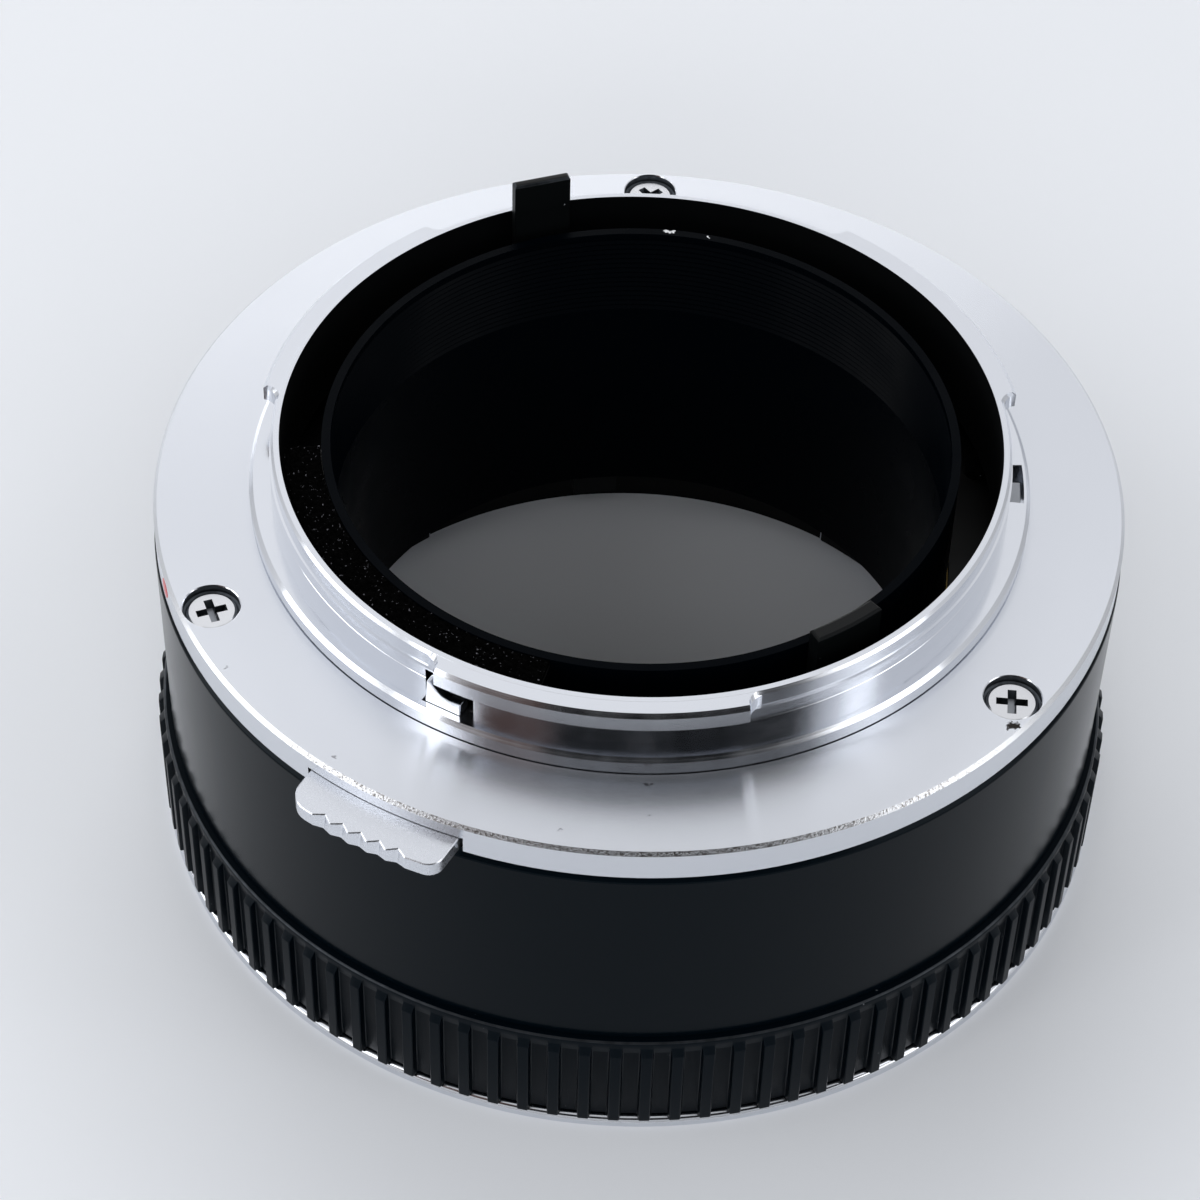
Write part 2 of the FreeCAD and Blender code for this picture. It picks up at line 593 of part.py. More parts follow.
# Inner tube: light baffle with a slotted flange and a raised rim round the rings
tube = turned([
    (LIGHT_R, LENS_ROOM), (tube_r, LENS_ROOM), (tube_r, SHELF_TOP), (shelf_r, SHELF_TOP),
    (shelf_r, tube_flange_top), (rim_out, tube_flange_top), (rim_out, rim_top), (rim_in, rim_top),
    (rim_in, tube_flange_top), (tube_r, tube_flange_top), (tube_r, tube_top), (LIGHT_R, tube_top)])
slot_low = SHELF_TOP - SLIP
slot_high = tube_flange_top + SLIP
diaphragm_slot = (diaphragm_in - CLEAR, lever_out + 2 * CLEAR)
coupling_slot = (tube_r, coupling_out + CLEAR)
tube = tube.cut(run_slot(*diaphragm_slot, slot_low, slot_high, pusher_az, pusher_half, DIAPHRAGM_TURN))
tube = tube.cut(run_slot(*coupling_slot, slot_low, slot_high, COUPLING_AZ, FORK_HALF, COUPLING_TURN))
retainer_screw_at = (rim_in + rim_out) / 2
retainer_hole_r = RETAINER_SCREW_R + SLIP / 2
retainer_hole_low = retainer_top - RETAINER_SCREW_LEN - CLEAR
for azimuth in RETAINER_SCREW_AZ:
    tube = tube.cut(post(azimuth, retainer_screw_at, retainer_hole_r, retainer_hole_low, rim_top + OVER))
for azimuth in tube_screw_azimuths:
    tube = tube.cut(post(azimuth, tube_screw_at, TUBE_SCREW_R + SLIP, SHELF_TOP - OVER, tube_flange_top + OVER))
export("inner_tube", [tube])

# Three screws that hold the inner tube on the barrel's shelf
tube_head_r = (shelf_r - rim_out) / 2 - SLIP
tube_screw = screw(TUBE_SCREW_R, tube_head_r, TUBE_HEAD_H, TUBE_HEAD_H + TUBE_SCREW_LEN, 0.0, 1)
tube_head_top = tube_flange_top + TUBE_HEAD_H
export("inner_tube_screws", [placed(tube_screw, a, tube_screw_at, tube_head_top) for a in tube_screw_azimuths])

# Retainer plate over both rings, with its three screws
plate_low = rim_top - OVER
plate_high = retainer_top + OVER
retainer = ring(tube_r + CLEAR, rim_out - SLIP, rim_top, retainer_top)
retainer = retainer.cut(run_slot(*diaphragm_slot, plate_low, plate_high, DIAPHRAGM_AZ, lever_half, DIAPHRAGM_TURN))
retainer = retainer.cut(run_slot(*coupling_slot, plate_low, plate_high, COUPLING_AZ, COUPLING_STEM, COUPLING_TURN))
for azimuth in RETAINER_SCREW_AZ:
    retainer = retainer.cut(post(azimuth, retainer_screw_at, retainer_hole_r, plate_low, plate_high))
export("ring_retainer", [retainer])
retainer_head_r = RETAINER_SCREW_R * HEAD_SHARE
retainer_screw_len = RETAINER_HEAD_H + RETAINER_SCREW_LEN
retainer_screw = screw(RETAINER_SCREW_R, retainer_head_r, RETAINER_HEAD_H, retainer_screw_len, 0.0, 1)
retainer_head_top = retainer_top + RETAINER_HEAD_H
retainer_screws = [placed(retainer_screw, a, retainer_screw_at, retainer_head_top) for a in RETAINER_SCREW_AZ]
export("retainer_screws", retainer_screws)

# Hairpin return springs on posts of the retainer plate, one for each ring
post_at = retainer_screw_at - CLEAR
hairpin_low = retainer_top + HAIRPIN_LIFT
upper_leg = hairpin_low + HAIRPIN_H - HAIRPIN_WIRE
sleeve_in = POST_R + SLIP
rest_r = post_at - POST_R - HAIRPIN_WIRE / 2 - SLIP
post_azimuths = []
hairpins = []
for azimuth, half, turn, contact_r in (
        (DIAPHRAGM_AZ, lever_half, DIAPHRAGM_TURN, (diaphragm_in + lever_out) / 2),
        (COUPLING_AZ, COUPLING_STEM, COUPLING_TURN, (stem_in + coupling_out) / 2)):
    coil_az = azimuth + turn + POST_AHEAD
    rest_az = coil_az + REST_AHEAD
    post_azimuths += [coil_az, rest_az]
    centre = V(post_at * math.cos(math.radians(coil_az)), post_at * math.sin(math.radians(coil_az)), 0)
    hairpin = Part.makeCylinder(sleeve_in + HAIRPIN_WIRE, HAIRPIN_H, V(centre.x, centre.y, hairpin_low))
    lever_side = math.radians(azimuth + half) + (HAIRPIN_WIRE / 2 + SLIP) / contact_r
    touch = V(contact_r * math.cos(lever_side), contact_r * math.sin(lever_side), 0)
    rest = V(rest_r * math.cos(math.radians(rest_az)), rest_r * math.sin(math.radians(rest_az)), 0)
    for target, level in ((touch, hairpin_low), (rest, upper_leg)):
        reach = target - centre
        leg = Part.makeBox(reach.Length, HAIRPIN_WIRE, HAIRPIN_WIRE, V(0, -HAIRPIN_WIRE / 2, level))
        leg.rotate(ORIGIN, AXIS, math.degrees(math.atan2(reach.y, reach.x)))
        leg.translate(centre)
        hairpin = hairpin.fuse(leg)
    core = Part.makeCylinder(sleeve_in, HAIRPIN_H + 2 * OVER, V(centre.x, centre.y, hairpin_low - OVER))
    hairpins.append(hairpin.cut(core))
export("diaphragm_spring", hairpins[:1])
export("coupling_spring", hairpins[1:])
export("spring_posts", [post(a, post_at, POST_R, retainer_top, retainer_top + POST_H) for a in post_azimuths])

# Light trap over the slide: a sector plate on the inner tube with a flock pad on it
trap_low = lug_low
trap_top = trap_low + TRAP_T
trap_out = bore_r - 2 * CLEAR
trap = sector(tube_r, trap_out, trap_low, trap_top, TRAP_MIDDLE, TRAP_HALF)
flock = sector(tube_r + SLIP, trap_out, trap_top, trap_top + FLOCK_T, TRAP_MIDDLE, TRAP_HALF)
export("light_trap_plate", [trap])
export("flock_pad", [flock])
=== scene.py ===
import math
import random

import bmesh
import bpy
from mathutils import Matrix, Vector


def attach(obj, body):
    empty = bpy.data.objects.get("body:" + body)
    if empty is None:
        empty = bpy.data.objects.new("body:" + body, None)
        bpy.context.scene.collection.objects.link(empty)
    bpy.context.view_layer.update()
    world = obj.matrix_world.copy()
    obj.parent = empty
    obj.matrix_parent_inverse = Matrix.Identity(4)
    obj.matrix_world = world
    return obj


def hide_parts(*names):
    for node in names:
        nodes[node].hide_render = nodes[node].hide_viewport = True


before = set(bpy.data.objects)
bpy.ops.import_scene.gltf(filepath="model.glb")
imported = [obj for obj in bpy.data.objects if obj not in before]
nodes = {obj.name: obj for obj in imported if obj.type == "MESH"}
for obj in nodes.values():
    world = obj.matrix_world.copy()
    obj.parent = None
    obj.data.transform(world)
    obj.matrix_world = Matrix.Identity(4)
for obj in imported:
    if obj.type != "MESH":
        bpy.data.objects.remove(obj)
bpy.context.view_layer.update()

# Barrel: the sleeve between the two mounts, turned from aluminium tube and sprayed satin black.
# Its inner shelf carries the inner tube, its foot steps in for the grip ring, and both mounts screw into it.
MM = 0.001
BARREL_R = 30.1
BARREL_IN = 26.5
BARREL_LOW = 1.6
BARREL_TOP = 22.93
GRIP_SEAT_R = 28.95
GRIP_TOP = 8.0
SHELF_IN = 24.0
SHELF_LOW = 11.0
SHELF_TOP = 14.0
BARREL_CHAMFER = 0.3
TURNED_STEPS = 256


def linear(code):
    """Linear RGBA of an sRGB hex colour."""
    parts = [int(code[i:i + 2], 16) / 255 for i in (1, 3, 5)]
    return [*(c / 12.92 if c <= 0.04045 else ((c + 0.055) / 1.055) ** 2.4 for c in parts), 1.0]


def add(tree, kind, sockets=None, **settings):
    """One node: settings are its own options, sockets its input values or the outputs linked to them."""
    made = tree.nodes.new(kind)
    for key, value in settings.items():
        setattr(made, key, value)
    for key, value in (sockets or {}).items():
        if isinstance(value, bpy.types.NodeSocket):
            tree.links.new(value, made.inputs[key])
        else:
            made.inputs[key].default_value = value
    return made


def new_finish(name, colour, metallic, roughness):
    """A material with one principled shader; gives it, its tree, the shader and object coordinates."""
    finish = bpy.data.materials.new(name)
    finish.use_nodes = True
    tree = finish.node_tree
    tree.nodes.clear()
    shader = add(tree, "ShaderNodeBsdfPrincipled", {
        "Base Color": linear(colour), "Metallic": metallic, "Roughness": roughness})
    add(tree, "ShaderNodeOutputMaterial", {"Surface": shader.outputs["BSDF"]})
    place = add(tree, "ShaderNodeTexCoord").outputs["Object"]
    return finish, tree, shader, place


def turn(bm, profile, sweep=360.0, middle=0.0, steps=TURNED_STEPS, rounding=0.0):
    """Spins a profile of radius and height, in mm, round the axis; it is closed unless it ends there."""
    corners = [bm.verts.new((r * MM, 0, z * MM)) for r, z in profile]
    on_axis = profile[0][0] == 0 and profile[-1][0] == 0
    for a, b in zip(corners, corners[1:] + ([] if on_axis else corners[:1])):
        bm.edges.new((a, b))
    if rounding:
        bmesh.ops.bevel(bm, geom=corners, offset=rounding * MM, offset_type="OFFSET", affect="VERTICES",
                        segments=1, profile=0.5, material=-1, clamp_overlap=True)
    whole = sweep >= 360.0
    if not whole:
        bmesh.ops.contextual_create(bm, geom=bm.edges[:])
    start = Matrix.Rotation(math.radians(middle - sweep / 2), 4, "Z")
    bmesh.ops.transform(bm, matrix=start, verts=bm.verts[:])
    bmesh.ops.spin(bm, geom=bm.verts[:] + bm.edges[:] + bm.faces[:], cent=(0, 0, 0), axis=(0, 0, 1),
                   angle=math.radians(sweep), steps=steps, use_merge=whole)
    bmesh.ops.remove_doubles(bm, verts=bm.verts[:], dist=1e-7)
    bmesh.ops.recalc_face_normals(bm, faces=bm.faces[:])
    return bm


def to_object(name, bm):
    """An object at the origin that holds a finished bmesh."""
    mesh = bpy.data.meshes.new(name)
    bm.to_mesh(mesh)
    bm.free()
    piece = bpy.data.objects.new(name, mesh)
    bpy.context.scene.collection.objects.link(piece)
    return piece


def carve(piece, tool, operation="DIFFERENCE"):
    """Takes a tool's shape off a piece, or joins it on, and bins the tool."""
    cutter = to_object("cutter", tool)
    step = piece.modifiers.new("carve", "BOOLEAN")
    step.object = cutter
    step.operation = operation
    step.solver = "EXACT"
    graph = bpy.context.evaluated_depsgraph_get()
    carved = bpy.data.meshes.new_from_object(piece.evaluated_get(graph))
    piece.modifiers.clear()
    old = piece.data
    piece.data = carved
    carved.name = piece.name
    bpy.data.meshes.remove(old)
    spare = cutter.data
    bpy.data.objects.remove(cutter)
    bpy.data.meshes.remove(spare)


def fit(piece, body, slot, finishes, *replaced, sharp=20.0):
    """Cleans a piece, gives it finishes and shading, and sets it on its body in place of plain solids."""
    bm = bmesh.new()
    bm.from_mesh(piece.data)
    bmesh.ops.remove_doubles(bm, verts=bm.verts[:], dist=1e-7)
    bmesh.ops.dissolve_degenerate(bm, edges=bm.edges[:], dist=1e-7)
    bmesh.ops.recalc_face_normals(bm, faces=bm.faces[:])
    bm.to_mesh(piece.data)
    bm.free()
    for finish in finishes:
        piece.data.materials.append(finish)
    piece.data.shade_smooth()
    piece.data.set_sharp_from_angle(angle=math.radians(sharp))
    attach(piece, body)
    if replaced:
        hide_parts(*replaced)
    return piece


# Satin black paint: sprayed over turned aluminium, with a very fine peel that spreads the light softly.
# Peel is about 0.25 mm across on the real barrel, and the paint is a little glossier in places from handling.
PEEL_MM = 0.25
barrel_paint, tree, shader, place = new_finish("satin_black_paint", "#02070c", 0.0, 0.22)
peel = add(tree, "ShaderNodeTexNoise", {"Vector": place, "Scale": 1 / (PEEL_MM * MM), "Detail": 2.0})
handled = add(tree, "ShaderNodeTexNoise", {"Vector": place, "Scale": 1 / (9 * MM), "Detail": 3.0})
gloss = add(tree, "ShaderNodeMapRange", {
    "Value": handled.outputs["Fac"], "From Min": 0.3, "From Max": 0.7, "To Min": 0.16, "To Max": 0.22})
bump = add(tree, "ShaderNodeBump", {"Height": peel.outputs["Fac"], "Strength": 0.08, "Distance": 0.02 * MM})
tree.links.new(gloss.outputs["Result"], shader.inputs["Roughness"])
tree.links.new(bump.outputs["Normal"], shader.inputs["Normal"])
shader.inputs["Specular IOR Level"].default_value = 0.085
shader.inputs["Specular Tint"].default_value = linear("#d2e2ee")

barrel = to_object("barrel_sleeve", turn(bmesh.new(), [
    (BARREL_IN, BARREL_LOW), (GRIP_SEAT_R, BARREL_LOW), (GRIP_SEAT_R, GRIP_TOP), (BARREL_R, GRIP_TOP),
    (BARREL_R, BARREL_TOP - BARREL_CHAMFER - 0.15), (BARREL_R - BARREL_CHAMFER, BARREL_TOP - 0.15),
    (BARREL_R - BARREL_CHAMFER, BARREL_TOP), (BARREL_IN, BARREL_TOP),
    (BARREL_IN, SHELF_TOP), (SHELF_IN, SHELF_TOP), (SHELF_IN, SHELF_LOW), (BARREL_IN, SHELF_LOW)],
    rounding=0.06))
fit(barrel, "tube", "barrel_black", [barrel_paint], "barrel")

# Grip ring: a black enamelled ring with straight raised ribs, pressed on the barrel's foot.
# The ribs slope back at the top to a plain band with a fine bead, and stop above the chrome edge below.
GRIP_LOW = 0.65
GRIP_IN = 29.0
GROOVE_R = 30.53
RIB_R = 30.95
BAND_R = 30.58
RIBS = 104
RIB_TOP_SHARE = 0.36
RIB_FOOT_SHARE = 0.46
RIB_END = 7.5
RIB_SHOULDER = 7.08
BEAD = 0.12
GROOVE_FOOT = 30.28
GROOVE_FOOT_TOP = 0.9
RIB_ROUNDING = 0.045

# Black enamel with dust caught in the grain, in two copies that differ only in specular level: the grooves'
# copy reflects less, as painted shade that makes the grooves render darker than the ribs.
grip_finishes = []
for name, gloss in (("semi_gloss_black_enamel", 0.13), ("black_enamel_painted_groove_shade", 0.045)):
    enamel, tree, shader, place = new_finish(name, "#01050a", 0.0, 0.30)
    grain = add(tree, "ShaderNodeTexNoise", {"Vector": place, "Scale": 1 / (0.3 * MM), "Detail": 3.0})
    dust = add(tree, "ShaderNodeTexNoise", {"Vector": place, "Scale": 1 / (0.35 * MM), "Detail": 1.0})
    speck = add(tree, "ShaderNodeMapRange", {
        "Value": dust.outputs["Fac"], "From Min": 0.79, "From Max": 0.85})
    shade = add(tree, "ShaderNodeMix", {
        "Factor": speck.outputs["Result"], "A": linear("#01050a"), "B": linear("#6d7075")}, data_type="RGBA")
    bump = add(tree, "ShaderNodeBump", {
        "Height": grain.outputs["Fac"], "Strength": 0.12, "Distance": 0.02 * MM})
    tree.links.new(shade.outputs["Result"], shader.inputs["Base Color"])
    tree.links.new(bump.outputs["Normal"], shader.inputs["Normal"])
    shader.inputs["Specular IOR Level"].default_value = gloss
    shader.inputs["Specular Tint"].default_value = linear("#d2e2ee")
    grip_finishes.append(enamel)

# Bare edge: the bead's crest, where the enamel has worn through to dull metal in places.
bare_edge, tree, shader, place = new_finish("worn_enamel_edge", "#53575c", 1.0, 0.38)
rubbed = add(tree, "ShaderNodeTexNoise", {"Vector": place, "Scale": 1 / (0.8 * MM), "Detail": 3.0})
shade = add(tree, "ShaderNodeMix", {
    "Factor": rubbed.outputs["Fac"], "A": linear("#17191b"), "B": linear("#4b4f54")}, data_type="RGBA")
tree.links.new(shade.outputs["Result"], shader.inputs["Base Color"])
grip_finishes.append(bare_edge)

pitch = 2 * math.pi / RIBS
row = [(-0.5, GROOVE_R), (-RIB_FOOT_SHARE / 2, GROOVE_R), (-RIB_TOP_SHARE / 2, RIB_R),
       (RIB_TOP_SHARE / 2, RIB_R), (RIB_FOOT_SHARE / 2, GROOVE_R), (0.5, GROOVE_R)]
levels = [
    (GROOVE_FOOT_TOP, None), (RIB_SHOULDER, None), (RIB_END, BAND_R), (GRIP_TOP - BEAD, BAND_R),
    (GRIP_TOP, BAND_R - BEAD), (GRIP_TOP, GRIP_IN), (GRIP_LOW, GRIP_IN), (GRIP_LOW, None)]
foot = [(share, GROOVE_FOOT if own == GROOVE_R else own) for share, own in row]
bm = bmesh.new()
line = [bm.verts.new((r * MM * math.cos(a * pitch), r * MM * math.sin(a * pitch), GRIP_LOW * MM))
        for a, r in foot]
edges = [bm.edges.new(pair) for pair in zip(line, line[1:])]
for height, radius in levels:
    raised = bmesh.ops.extrude_edge_only(bm, edges=edges)["geom"]
    edges = [e for e in raised if isinstance(e, bmesh.types.BMEdge)]
    moved = sorted({v for e in edges for v in e.verts}, key=lambda v: math.atan2(v.co.y, v.co.x))
    for vert, (share, own) in zip(moved, foot if height == GRIP_LOW else row):
        out = (own if radius is None else radius) * MM
        vert.co = (out * math.cos(share * pitch), out * math.sin(share * pitch), height * MM)
bmesh.ops.remove_doubles(bm, verts=bm.verts[:], dist=1e-7)
bmesh.ops.spin(bm, geom=bm.verts[:] + bm.edges[:] + bm.faces[:], cent=(0, 0, 0), axis=(0, 0, 1),
               angle=2 * math.pi, steps=RIBS, use_duplicate=True)
bmesh.ops.remove_doubles(bm, verts=bm.verts[:], dist=1e-6)
bmesh.ops.recalc_face_normals(bm, faces=bm.faces[:])
crisp = [e for e in bm.edges if e.is_manifold and e.calc_face_angle() > math.radians(18)
         and max(v.co.xy.length for v in e.verts) > (GRIP_IN + 0.5) * MM]
bmesh.ops.bevel(bm, geom=crisp, offset=RIB_ROUNDING * MM, offset_type="OFFSET", affect="EDGES", segments=1,
                profile=0.5, material=-1, clamp_overlap=True)
grip = to_object("grip_ring_ribbed", bm)
fit(grip, "tube", "grip_black", grip_finishes, "grip_ring", sharp=28.0)
# The bead's crest takes the bare edge; groove faces take the weaker-reflecting enamel copy, as painted shade
# in the grooves.
for face in grip.data.polygons:
    reach = face.center.xy.length
    if face.center.z > (GRIP_TOP - BEAD) * MM and 0.3 < face.normal.z < 0.95:
        face.material_index = 2
    elif reach < (GROOVE_R + 0.02) * MM:
        face.material_index = 1

# Lens-side mount: a chromed brass ring with the seat for the lens, a throat and three inner bayonet lugs.
# Four countersunk screws hold it on the barrel, and a leaf spring is screwed behind each lug.
SEAT_R = 30.9
SEAT_RIM = 0.65
SEAT_ROUND = 0.45
PLATE_R = 28.9
SPIGOT_R = 26.3
SPIGOT_TOP = 3.0
THROAT_R = 24.22
THROAT_TOP = 1.31
PASS_R = 23.77
CATCH_R = 22.94
CATCH_HALF = 22.0
LUG_MIDDLES = (264.1, 151.15, 34.15)
FRONT_SCREW_R = 27.725
FRONT_SCREWS = (20.0, 110.0, 200.0, 290.0)

# Chrome plate over turned brass: a bright metal with fine rings left by the lathe, which draw reflections out
# into streaks across the turning. Real tool marks are about 0.03 mm apart, drawn at 0.12 mm to show.
MARK_MM = 0.12
chrome, tree, shader, place = new_finish("turned_chrome_plate", "#dcdfe5", 1.0, 0.24)
split = add(tree, "ShaderNodeSeparateXYZ", {"Vector": place})
flat = add(tree, "ShaderNodeCombineXYZ", {"X": split.outputs["X"], "Y": split.outputs["Y"], "Z": 0.0})
radius = add(tree, "ShaderNodeVectorMath", {0: flat.outputs["Vector"]}, operation="LENGTH")
along = add(tree, "ShaderNodeMath", {0: radius.outputs["Value"], 1: split.outputs["Z"]}, operation="ADD")
marks = add(tree, "ShaderNodeTexNoise", {
    "W": along.outputs["Value"], "Scale": 1 / (MARK_MM * MM), "Detail": 2.0}, noise_dimensions="1D")
patch = add(tree, "ShaderNodeTexNoise", {"Vector": place, "Scale": 1 / (5 * MM), "Detail": 4.0})
dull = add(tree, "ShaderNodeMapRange", {
    "Value": patch.outputs["Fac"], "From Min": 0.3, "From Max": 0.75, "To Min": 0.20, "To Max": 0.23})
bump = add(tree, "ShaderNodeBump", {"Height": marks.outputs["Fac"], "Strength": 0.05, "Distance": 0.01 * MM})
tangent = add(tree, "ShaderNodeTangent", direction_type="RADIAL", axis="Z")
# Marks of use on the seat: where they lie, how wide they are in mm and how dark.
MARKS = ((22.22, -19.14, 0.36, 1.0), (22.05, -19.22, 0.26, 1.0), (22.42, -19.2, 0.26, 1.0),
         (1.13, -24.86, 0.13, 0.6), (1.4, -24.84, 0.11, 0.6), (-23.8, -17.22, 0.11, 0.5),
         (-16.76, -23.74, 0.13, 0.5), (-3.67, -28.45, 0.12, 0.5), (1.36, -27.08, 0.1, 0.5))
ragged = add(tree, "ShaderNodeTexNoise", {"Vector": place, "Scale": 1 / (0.3 * MM), "Detail": 2.0})
drift = add(tree, "ShaderNodeVectorMath", {
    0: ragged.outputs["Color"], 1: (0.5, 0.5, 0.5)}, operation="SUBTRACT")
pulled = add(tree, "ShaderNodeVectorMath", {
    0: drift.outputs["Vector"], 1: (0.7 * MM, 0.7 * MM, 0.0), 2: place}, operation="MULTIPLY_ADD")
worn = 0.0
for x, y, wide, depth in MARKS:
    apart = add(tree, "ShaderNodeVectorMath", {
        0: pulled.outputs["Vector"], 1: (x * MM, y * MM, 25 * MM)}, operation="DISTANCE")
    spot = add(tree, "ShaderNodeMapRange", {
        "Value": apart.outputs["Value"], "From Min": wide * MM, "From Max": 0.6 * wide * MM, "To Max": depth})
    most = add(tree, "ShaderNodeMath", {0: spot.outputs["Result"], 1: worn}, operation="MAXIMUM")
    worn = most.outputs["Value"]
shade = add(tree, "ShaderNodeMix", {
    "Factor": worn, "A": linear("#dcdfe5"), "B": linear("#2f2c2a")}, data_type="RGBA")
tree.links.new(shade.outputs["Result"], shader.inputs["Base Color"])
shader.inputs["Anisotropic"].default_value = 0.96
shader.inputs["Anisotropic Rotation"].default_value = 0.25
tree.links.new(dull.outputs["Result"], shader.inputs["Roughness"])
tree.links.new(bump.outputs["Normal"], shader.inputs["Normal"])
tree.links.new(tangent.outputs["Tangent"], shader.inputs["Tangent"])

# Polished chrome: the same plate where the brass below was buffed, so it mirrors almost sharply.
# Buffing leaves soft waves about 2 mm across and faint turned rings.
polished, tree, shader, place = new_finish("polished_chrome_plate", "#dcdfe5", 1.0, 0.09)
split = add(tree, "ShaderNodeSeparateXYZ", {"Vector": place})
rings = add(tree, "ShaderNodeTexNoise", {
    "W": split.outputs["Z"], "Scale": 1 / (0.1 * MM), "Detail": 3.0}, noise_dimensions="1D")
waves = add(tree, "ShaderNodeTexNoise", {"Vector": place, "Scale": 1 / (2 * MM), "Detail": 3.0})
dull = add(tree, "ShaderNodeMapRange", {
    "Value": waves.outputs["Fac"], "From Min": 0.3, "From Max": 0.7, "To Min": 0.10, "To Max": 0.17})
bump = add(tree, "ShaderNodeBump", {"Height": rings.outputs["Fac"], "Strength": 0.16, "Distance": 0.01 * MM})
tangent = add(tree, "ShaderNodeTangent", direction_type="RADIAL", axis="Z")
shader.inputs["Anisotropic"].default_value = 0.5
shader.inputs["Anisotropic Rotation"].default_value = 0.25
tree.links.new(dull.outputs["Result"], shader.inputs["Roughness"])
tree.links.new(bump.outputs["Normal"], shader.inputs["Normal"])
tree.links.new(tangent.outputs["Tangent"], shader.inputs["Tangent"])

# Black bore paint: brushed thinly inside both mounts against stray light.
bore_black, tree, shader, place = new_finish("black_bore_paint", "#040506", 0.0, 0.5)
tone = add(tree, "ShaderNodeTexNoise", {"Vector": place, "Scale": 1 / (1.5 * MM), "Detail": 4.0})
gloss = add(tree, "ShaderNodeMapRange", {"Value": tone.outputs["Fac"], "To Min": 0.42, "To Max": 0.6})
tree.links.new(gloss.outputs["Result"], shader.inputs["Roughness"])
shader.inputs["Specular IOR Level"].default_value = 0.12

seat_edge = [(SEAT_R - SEAT_ROUND * (1 - math.cos(math.radians(a))),
              SEAT_RIM - SEAT_ROUND * (1 - math.sin(math.radians(a)))) for a in range(0, 91, 15)]
lens_mount = to_object("lens_mount_ring", turn(bmesh.new(), [
    (THROAT_R, 0), (SEAT_R, 0), *seat_edge,
    (PLATE_R, SEAT_RIM), (PLATE_R, BARREL_LOW),
    (SPIGOT_R, BARREL_LOW), (SPIGOT_R, SPIGOT_TOP), (PASS_R, SPIGOT_TOP), (PASS_R, THROAT_TOP),
    (THROAT_R, THROAT_TOP)], rounding=0.03))
for middle in LUG_MIDDLES:
    lug = turn(bmesh.new(), [(CATCH_R, THROAT_TOP + 0.02), (PASS_R + 0.3, THROAT_TOP + 0.02),
                             (PASS_R + 0.3, SPIGOT_TOP - 0.02), (CATCH_R, SPIGOT_TOP - 0.02)],
               sweep=2 * CATCH_HALF, middle=middle, steps=44)
    ends = [e for e in lug.edges if abs(e.verts[0].co.z - e.verts[1].co.z) > MM
            and e.verts[0].co.xy.length < (CATCH_R + 0.1) * MM and e.calc_face_angle() > 0.8]
    bmesh.ops.bevel(lug, geom=ends, offset=0.5 * MM, offset_type="OFFSET", affect="EDGES", segments=4,
                    profile=0.5, material=-1, clamp_overlap=True)
    carve(lens_mount, lug, "UNION")
for azimuth in FRONT_SCREWS:
    sink = turn(bmesh.new(), [
        (0, -0.2), (1.55, -0.2), (1.25, 0.1), (0.7, 0.8), (0.7, 1.8), (0, 1.8)], steps=40)
    spot = Matrix.Rotation(math.radians(azimuth), 4, "Z") @ Matrix.Translation((FRONT_SCREW_R * MM, 0, 0))
    bmesh.ops.transform(sink, matrix=spot, verts=sink.verts[:])
    carve(lens_mount, sink)
fit(lens_mount, "tube", "chrome_mount", [polished, bore_black], "front_mount")
for face in lens_mount.data.polygons:
    outward = face.center.xy.normalized().dot(face.normal.xy)
    if face.center.xy.length < (THROAT_R + 0.1) * MM and outward < -0.9:
        face.material_index = 1

# Inner tube: the black anodised light baffle, turned with a flange for the shelf and a rim round the rings.
# Its upper bore has fine grooves against reflections; below them the bore is plain and glossier.
TUBE_IN = 19.0
TUBE_R = 19.55
TUBE_LOW = 6.8
TUBE_TOP = 28.8
TUBE_FLANGE_TOP = 15.5
RIM_IN = 22.25
RIM_OUT = 24.0
RIM_TOP = 18.59
GROOVES = 15
GROOVE_PITCH = 0.40
GROOVE_DEPTH = 0.14
GROOVE_START = 28.35

tube_black, tree, shader, place = new_finish("black_anodised_baffle", "#010306", 0.0, 0.30)
cloud = add(tree, "ShaderNodeTexNoise", {"Vector": place, "Scale": 1 / (3 * MM), "Detail": 3.0})
gloss = add(tree, "ShaderNodeMapRange", {
    "Value": cloud.outputs["Fac"], "From Min": 0.3, "From Max": 0.7, "To Min": 0.24, "To Max": 0.36})
tree.links.new(gloss.outputs["Result"], shader.inputs["Roughness"])
shader.inputs["Specular IOR Level"].default_value = 0.02
ragged = add(tree, "ShaderNodeTexNoise", {"Vector": place, "Scale": 1 / (0.35 * MM), "Detail": 1.0})
drift = add(tree, "ShaderNodeVectorMath", {
    0: ragged.outputs["Color"], 1: (0.5, 0.5, 0.5)}, operation="SUBTRACT")
pulled = add(tree, "ShaderNodeVectorMath", {
    0: drift.outputs["Vector"], 1: (0.4 * MM, 0.4 * MM, 0.0), 2: place}, operation="MULTIPLY_ADD")
# Four small near-white spots mixed into the base colour on the rim's top at the back.
pale_spots = 0.0
for x, y, wide in ((1.05, 19.34, 0.17), (1.3, 19.28, 0.16), (1.55, 19.34, 0.15), (3.8, 18.95, 0.1)):
    apart = add(tree, "ShaderNodeVectorMath", {
        0: pulled.outputs["Vector"], 1: (x * MM, y * MM, 28.8 * MM)}, operation="DISTANCE")
    spot = add(tree, "ShaderNodeMapRange", {
        "Value": apart.outputs["Value"], "From Min": wide * MM, "From Max": 0.7 * wide * MM})
    most = add(tree, "ShaderNodeMath", {0: spot.outputs["Result"], 1: pale_spots}, operation="MAXIMUM")
    pale_spots = most.outputs["Value"]
shade = add(tree, "ShaderNodeMix", {
    "Factor": pale_spots, "A": linear("#010306"), "B": linear("#dfe1e4")}, data_type="RGBA")
tree.links.new(shade.outputs["Result"], shader.inputs["Base Color"])

